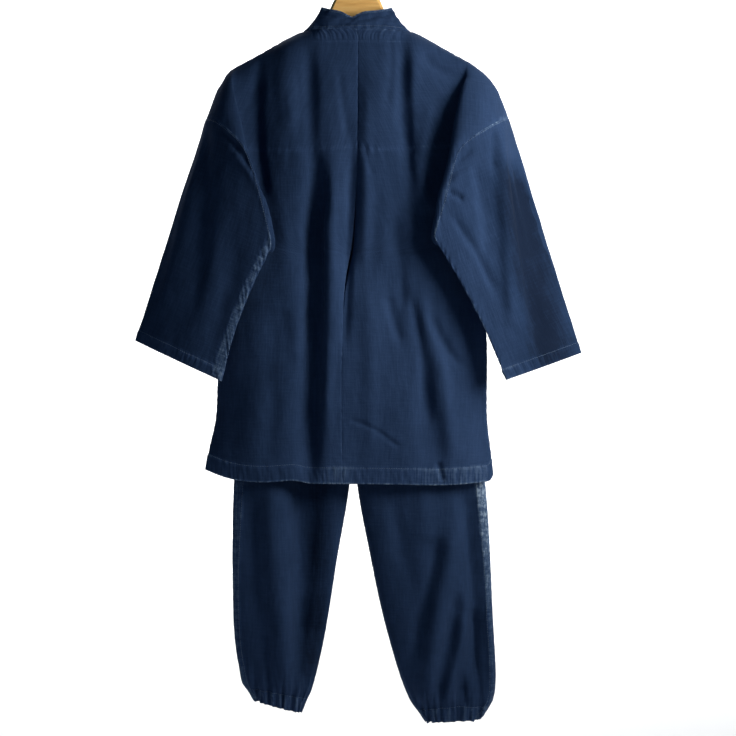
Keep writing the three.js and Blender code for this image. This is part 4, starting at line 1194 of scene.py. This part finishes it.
# %% The folds of the legs
LEG_LEFT = [
    (10, 20, 22, [(-140, -850), (-138, -950), (-130, -1030), (-120, -1150), (-117, -1235)]),
    (-25, 15, 44, [(-94, -760), (-92, -890), (-90, -970), (-88, -1060), (-92, -1180)]),
    (-4, 12, 12, [(-170, -900), (-168, -1000), (-160, -1100)]),
    (-6, 12, 16, [(-88, -1060), (-90, -1140), (-96, -1220)]),
    (-4, 10, 12, [(-152, -1110), (-145, -1170), (-134, -1225)]),
]
LEG_RIGHT = [
    (5, 16, 15, [(106, -850), (107, -905), (112, -980)]),
    (11, 17, 20, [(160, -930), (148, -1000), (134, -1060), (122, -1160), (117, -1250)]),
    (-8, 11, 15, [(136, -960), (124, -1030), (108, -1095), (90, -1180)]),
    (-9, 9, 12, [(168, -1050), (154, -1110), (140, -1170), (130, -1240)]),
    (-10, 14, 18, [(196, -1080), (188, -1150), (176, -1210), (168, -1245)]),
    (7, 10, 12, [(178, -1085), (170, -1140), (158, -1190), (146, -1240)]),
    (-4, 7, 8, [(163, -1180), (172, -1215), (180, -1250)]),
    (-15, 12, 20, [(176, -860), (182, -960), (192, -1040), (198, -1120), (202, -1240)]),
    (-3, 12, 12, [(60, -900), (66, -960), (74, -1010)]),
    (3, 10, 11, [(88, -1120), (98, -1180), (108, -1240)]),
]
LEG_FRONT = [
    (-7, 10, 12, [(120, -860), (118, -1000), (124, -1160)]),
    (6, 12, 12, [(150, -880), (150, -1040), (146, -1210)]),
    (-5, 8, 9, [(90, -900), (100, -1020), (112, -1120)]),
]
# painted shade down the inside of the left leg: a darkening, no fold
LEFT_LEG_SHADE = [(-1.4, 22, 30, [(-64, -820), (-68, -960), (-66, -1080), (-76, -1230)])]
print("folds in the legs:", len(LEG_LEFT), len(LEG_RIGHT), len(LEG_FRONT))

# %% [markdown]
# ## The felled seam
# The outer seam of a leg is felled: one edge is folded over the other and stitched down twice, which
# leaves a flat doubled strip. It is rubbed on both faces, so it is the palest part of the trousers.
# On the right leg a painted highlight makes it paler still, most of all towards the thigh.

# %% A felled seam
FELL_WIDTH = 12
FELL_REACH = 60  # a fell is looked for this far from the panel's outer edge
FELL_STITCHES = (0.88, 0.45)  # shares of its width
TROUSERS_DARKER = 0.12  # the trousers are painted darker than the jacket


def fell_side(sheet, free, leg):
    """Raises the felled strip at the sheet's outer side and pales it with wear and, on the right leg, a
    painted highlight; paints shade down the inner left leg; returns its stitch lines.
    """
    inwards = abs(sheet.points[..., 0]).max(1, keepdims=True) - abs(sheet.points[..., 0])
    width = FELL_WIDTH + 7 * np.clip((sheet.points[..., 2] + 1050) / 170, 0, 1)
    fell = step_down(inwards, width, 1.2) * (sheet.from_first < FELL_REACH)
    sheet.push(fell * 1.3 * free)
    sheet.pucker_down = np.maximum(sheet.pucker_down, fell * 0.9)
    # the fell is pale with wear on both legs; on the right leg a painted highlight makes it paler towards
    # the thigh
    wear_and_highlight = np.clip((sheet.points[..., 2] + 1240) / 350, 0.3, 1) if leg == "right" else 0.25
    # painted shade down the inner left leg
    sheet.worn += fell * (TROUSERS_DARKER + wear_and_highlight) + crease_heights(sheet, LEFT_LEG_SHADE)
    share = np.where(sheet.from_first < FELL_REACH, inwards / width, 9)
    return [contour(share, value, False) for value in FELL_STITCHES]


print("a fell is", FELL_WIDTH, "mm wide or more")

# %% [markdown]
# ## Gathered ankles
# Elastic in a narrow casing gathers each ankle. The gathers are small and deep in the casing, and
# above it they run together into longer folds that die out a hand higher. The elastic also draws the
# whole ankle in.

# %% Gathers
CASING = 25
GATHERS_MM = ((15, 2.6), (10.5, 1.5))  # length and height of the small gathers
LONG_FOLDS_MM = (27, 1.6)
GATHER_REACH = 60
DRAWN_IN = 0.07  # the elastic's pull on the ankle's width


def gather(sheet, free, seed):
    """Gathers the sheet's bottom edge on its elastic."""
    across = sheet.flat[..., 0]
    small = sum(ripple(across, length, seed + 2 * k) * high for k, (length, high) in enumerate(GATHERS_MM))
    up = np.clip((sheet.from_bottom - CASING) / GATHER_REACH, 0, 1)
    length, high = LONG_FOLDS_MM
    gathers = small * (1 - up) ** 1.5 + ripple(across, length, seed + 5) * high * np.clip(1.2 - up, 0, 1)
    gathers = gathers * free * np.clip((120 - sheet.from_bottom) / 50, 0, 1)
    sheet.push(gathers)
    sheet.push(-near(sheet.from_bottom - CASING, 2.5) * 1.0 * free)
    casing = step_down(sheet.from_bottom, CASING, 2)
    drawn_in = step_down(sheet.from_bottom, CASING + 4, 9) * DRAWN_IN
    middle = (sheet.points[..., 0].max(1) + sheet.points[..., 0].min(1)) / 2
    sheet.points[..., 0] -= (sheet.points[..., 0] - middle[:, None]) * drawn_in
    pulled = casing * 1.8 + near(sheet.from_bottom - 36, 18) * 1.1
    sheet.pucker_across = np.maximum(sheet.pucker_across, pulled)
    sheet.worn += casing * (0.08 + 0.16 * np.clip(gathers, -2, 3))


print("the elastic draws an ankle panel in by", round(100 * DRAWN_IN), "percent more")

# %% [markdown]
# ## The four leg panels
# Front and back panels have the same recipe. Only the back ones are folded to their own tables and
# show a fell, and they have closer rows, since they are seen.

# %% The legs
for leg, creases, seed in (("left", LEG_LEFT, 21.0), ("right", LEG_RIGHT, 25.0)):
    for face in ("back", "front"):
        sheet = Sheet(f"trousers_{face}_{leg}", 2.8 if face == "back" else 4.4, fine_bottom=60)
        folds = creases if face == "back" else (LEG_FRONT if leg == "right" else mirrored(LEG_FRONT))
        free = 1 - near(np.minimum(sheet.from_first, sheet.from_last), 7)
        weathered(sheet, seed, free)
        sheet.push(crease_heights(sheet, folds) * free)
        sheet.refresh()
        seam(sheet, sheet.from_first, sheet.from_top, "down", 0.2, seed, 0.3)
        seam(sheet, sheet.from_last, sheet.from_top, "down", 0.2, seed + 1, 0.2)
        # the trousers are painted darker than the jacket all over
        sheet.worn -= TROUSERS_DARKER
        stitched = [contour(sheet.from_bottom, CASING - 1)]
        if face == "back":
            stitched += fell_side(sheet, free, leg)
        gather(sheet, free, seed)
        sheet.refresh()
        hang(sheet, ((1, False), (1, True)), stitched)
        print(sheet.name, sheet.points.shape[:2])

# %% [markdown]
# ## The waistband
# The elastic inside the waistband gathers it all round. The jacket hides it, so one row of even
# gathers is enough.

# %% The waistband
band = Sheet("trousers_waistband", 4.4)
band.push(ripple(band.from_first, 15, 2.0) * 0.5)
band.pucker_across += 0.8
band.refresh()
hang(band, ((0, False),))
print("waist", round(band.width), "mm round")

# %% [markdown]
# ## Floor and wall
# A pale floor and a paler wall behind the suit make an even ground. The wall glows a little of its
# own, so it stays white without a lamp of its own that would also light the cloth.

# %% Floor and wall
FLOOR_Z = -1.58
WALL_Y, WALL_TOP = 5.2, 5
ROOM = 8
PALE = (0.8, 0.8, 0.8)


def plain(name, corners, glow=0.0):
    """A plain pale rectangle of the room."""
    mesh = bpy.data.meshes.new(name)
    mesh.from_pydata(corners, [], [(0, 1, 2, 3)])
    made = bpy.data.objects.new(name, mesh)
    bpy.context.scene.collection.objects.link(made)
    paint = Shader(name)
    paint.surface.inputs["Base Color"].default_value = (*PALE, 1)
    paint.surface.inputs["Roughness"].default_value = 0.9
    paint.surface.inputs["Emission Color"].default_value = (1, 1, 1, 1)
    paint.surface.inputs["Emission Strength"].default_value = glow
    mesh.materials.append(paint.material)


back_edge = [(ROOM, WALL_Y, FLOOR_Z), (-ROOM, WALL_Y, FLOOR_Z)]
plain("floor", [(-ROOM, -ROOM, FLOOR_Z), (ROOM, -ROOM, FLOOR_Z), *back_edge])
plain("wall", [*back_edge[::-1], (ROOM, WALL_Y, WALL_TOP), (-ROOM, WALL_Y, WALL_TOP)], 0.8)
print("floor at", FLOOR_Z, "m, wall", WALL_Y, "m behind")

# %% [markdown]
# ## Lamps
# Dark cloth drinks light and shows its folds only by their bright and dark sides. So the key lamp
# grazes it from close by on the right, narrowed to the sleeve and the shoulder, and a weak blue fill
# comes from the left. The world is a dim blue, which lies in the shadows. One more lamp lights the
# ground behind the suit.

# %% Lamps
WORLD_BLUE, WORLD_STRENGTH = (0.25, 0.65, 1, 1), 0.06
MIDDLE = (0.0, 0.0, -0.65)

world = bpy.data.worlds.new("studio")
bpy.context.scene.world = world
world.use_nodes = True
world.node_tree.nodes["Background"].inputs["Color"].default_value = WORLD_BLUE
world.node_tree.nodes["Background"].inputs["Strength"].default_value = WORLD_STRENGTH


def lamp(name, place, target, size, power, colour=(1, 1, 1), spread=180):
    """A round soft lamp in watts, aimed at the target, its beam narrowed to the spread in degrees."""
    light = bpy.data.lights.new(name, "AREA")
    light.shape = "DISK"
    light.size = size
    light.energy = power
    light.color = colour
    light.spread = math.radians(spread)
    made = bpy.data.objects.new(name, light)
    made.location = place
    made.rotation_euler = (Vector(target) - Vector(place)).to_track_quat("-Z", "Y").to_euler()
    made.visible_camera = False
    bpy.context.scene.collection.objects.link(made)
    print(name, power, "W")


lamp("key", (1.04, -0.62, -0.18), (0.36, 0.0, -0.44), 0.8, 6.2, (1.0, 0.97, 0.9), 82)
lamp("fill", (-1.0, -2.8, 0.2), MIDDLE, 1.8, 1.4, (0.15, 0.62, 1.0))
lamp("ground", (0.0, 3.2, 2.4), (0.0, 3.2, FLOOR_Z), 3.4, 210)
bpy.context.scene.view_settings.view_transform = "Standard"

# %% [markdown]
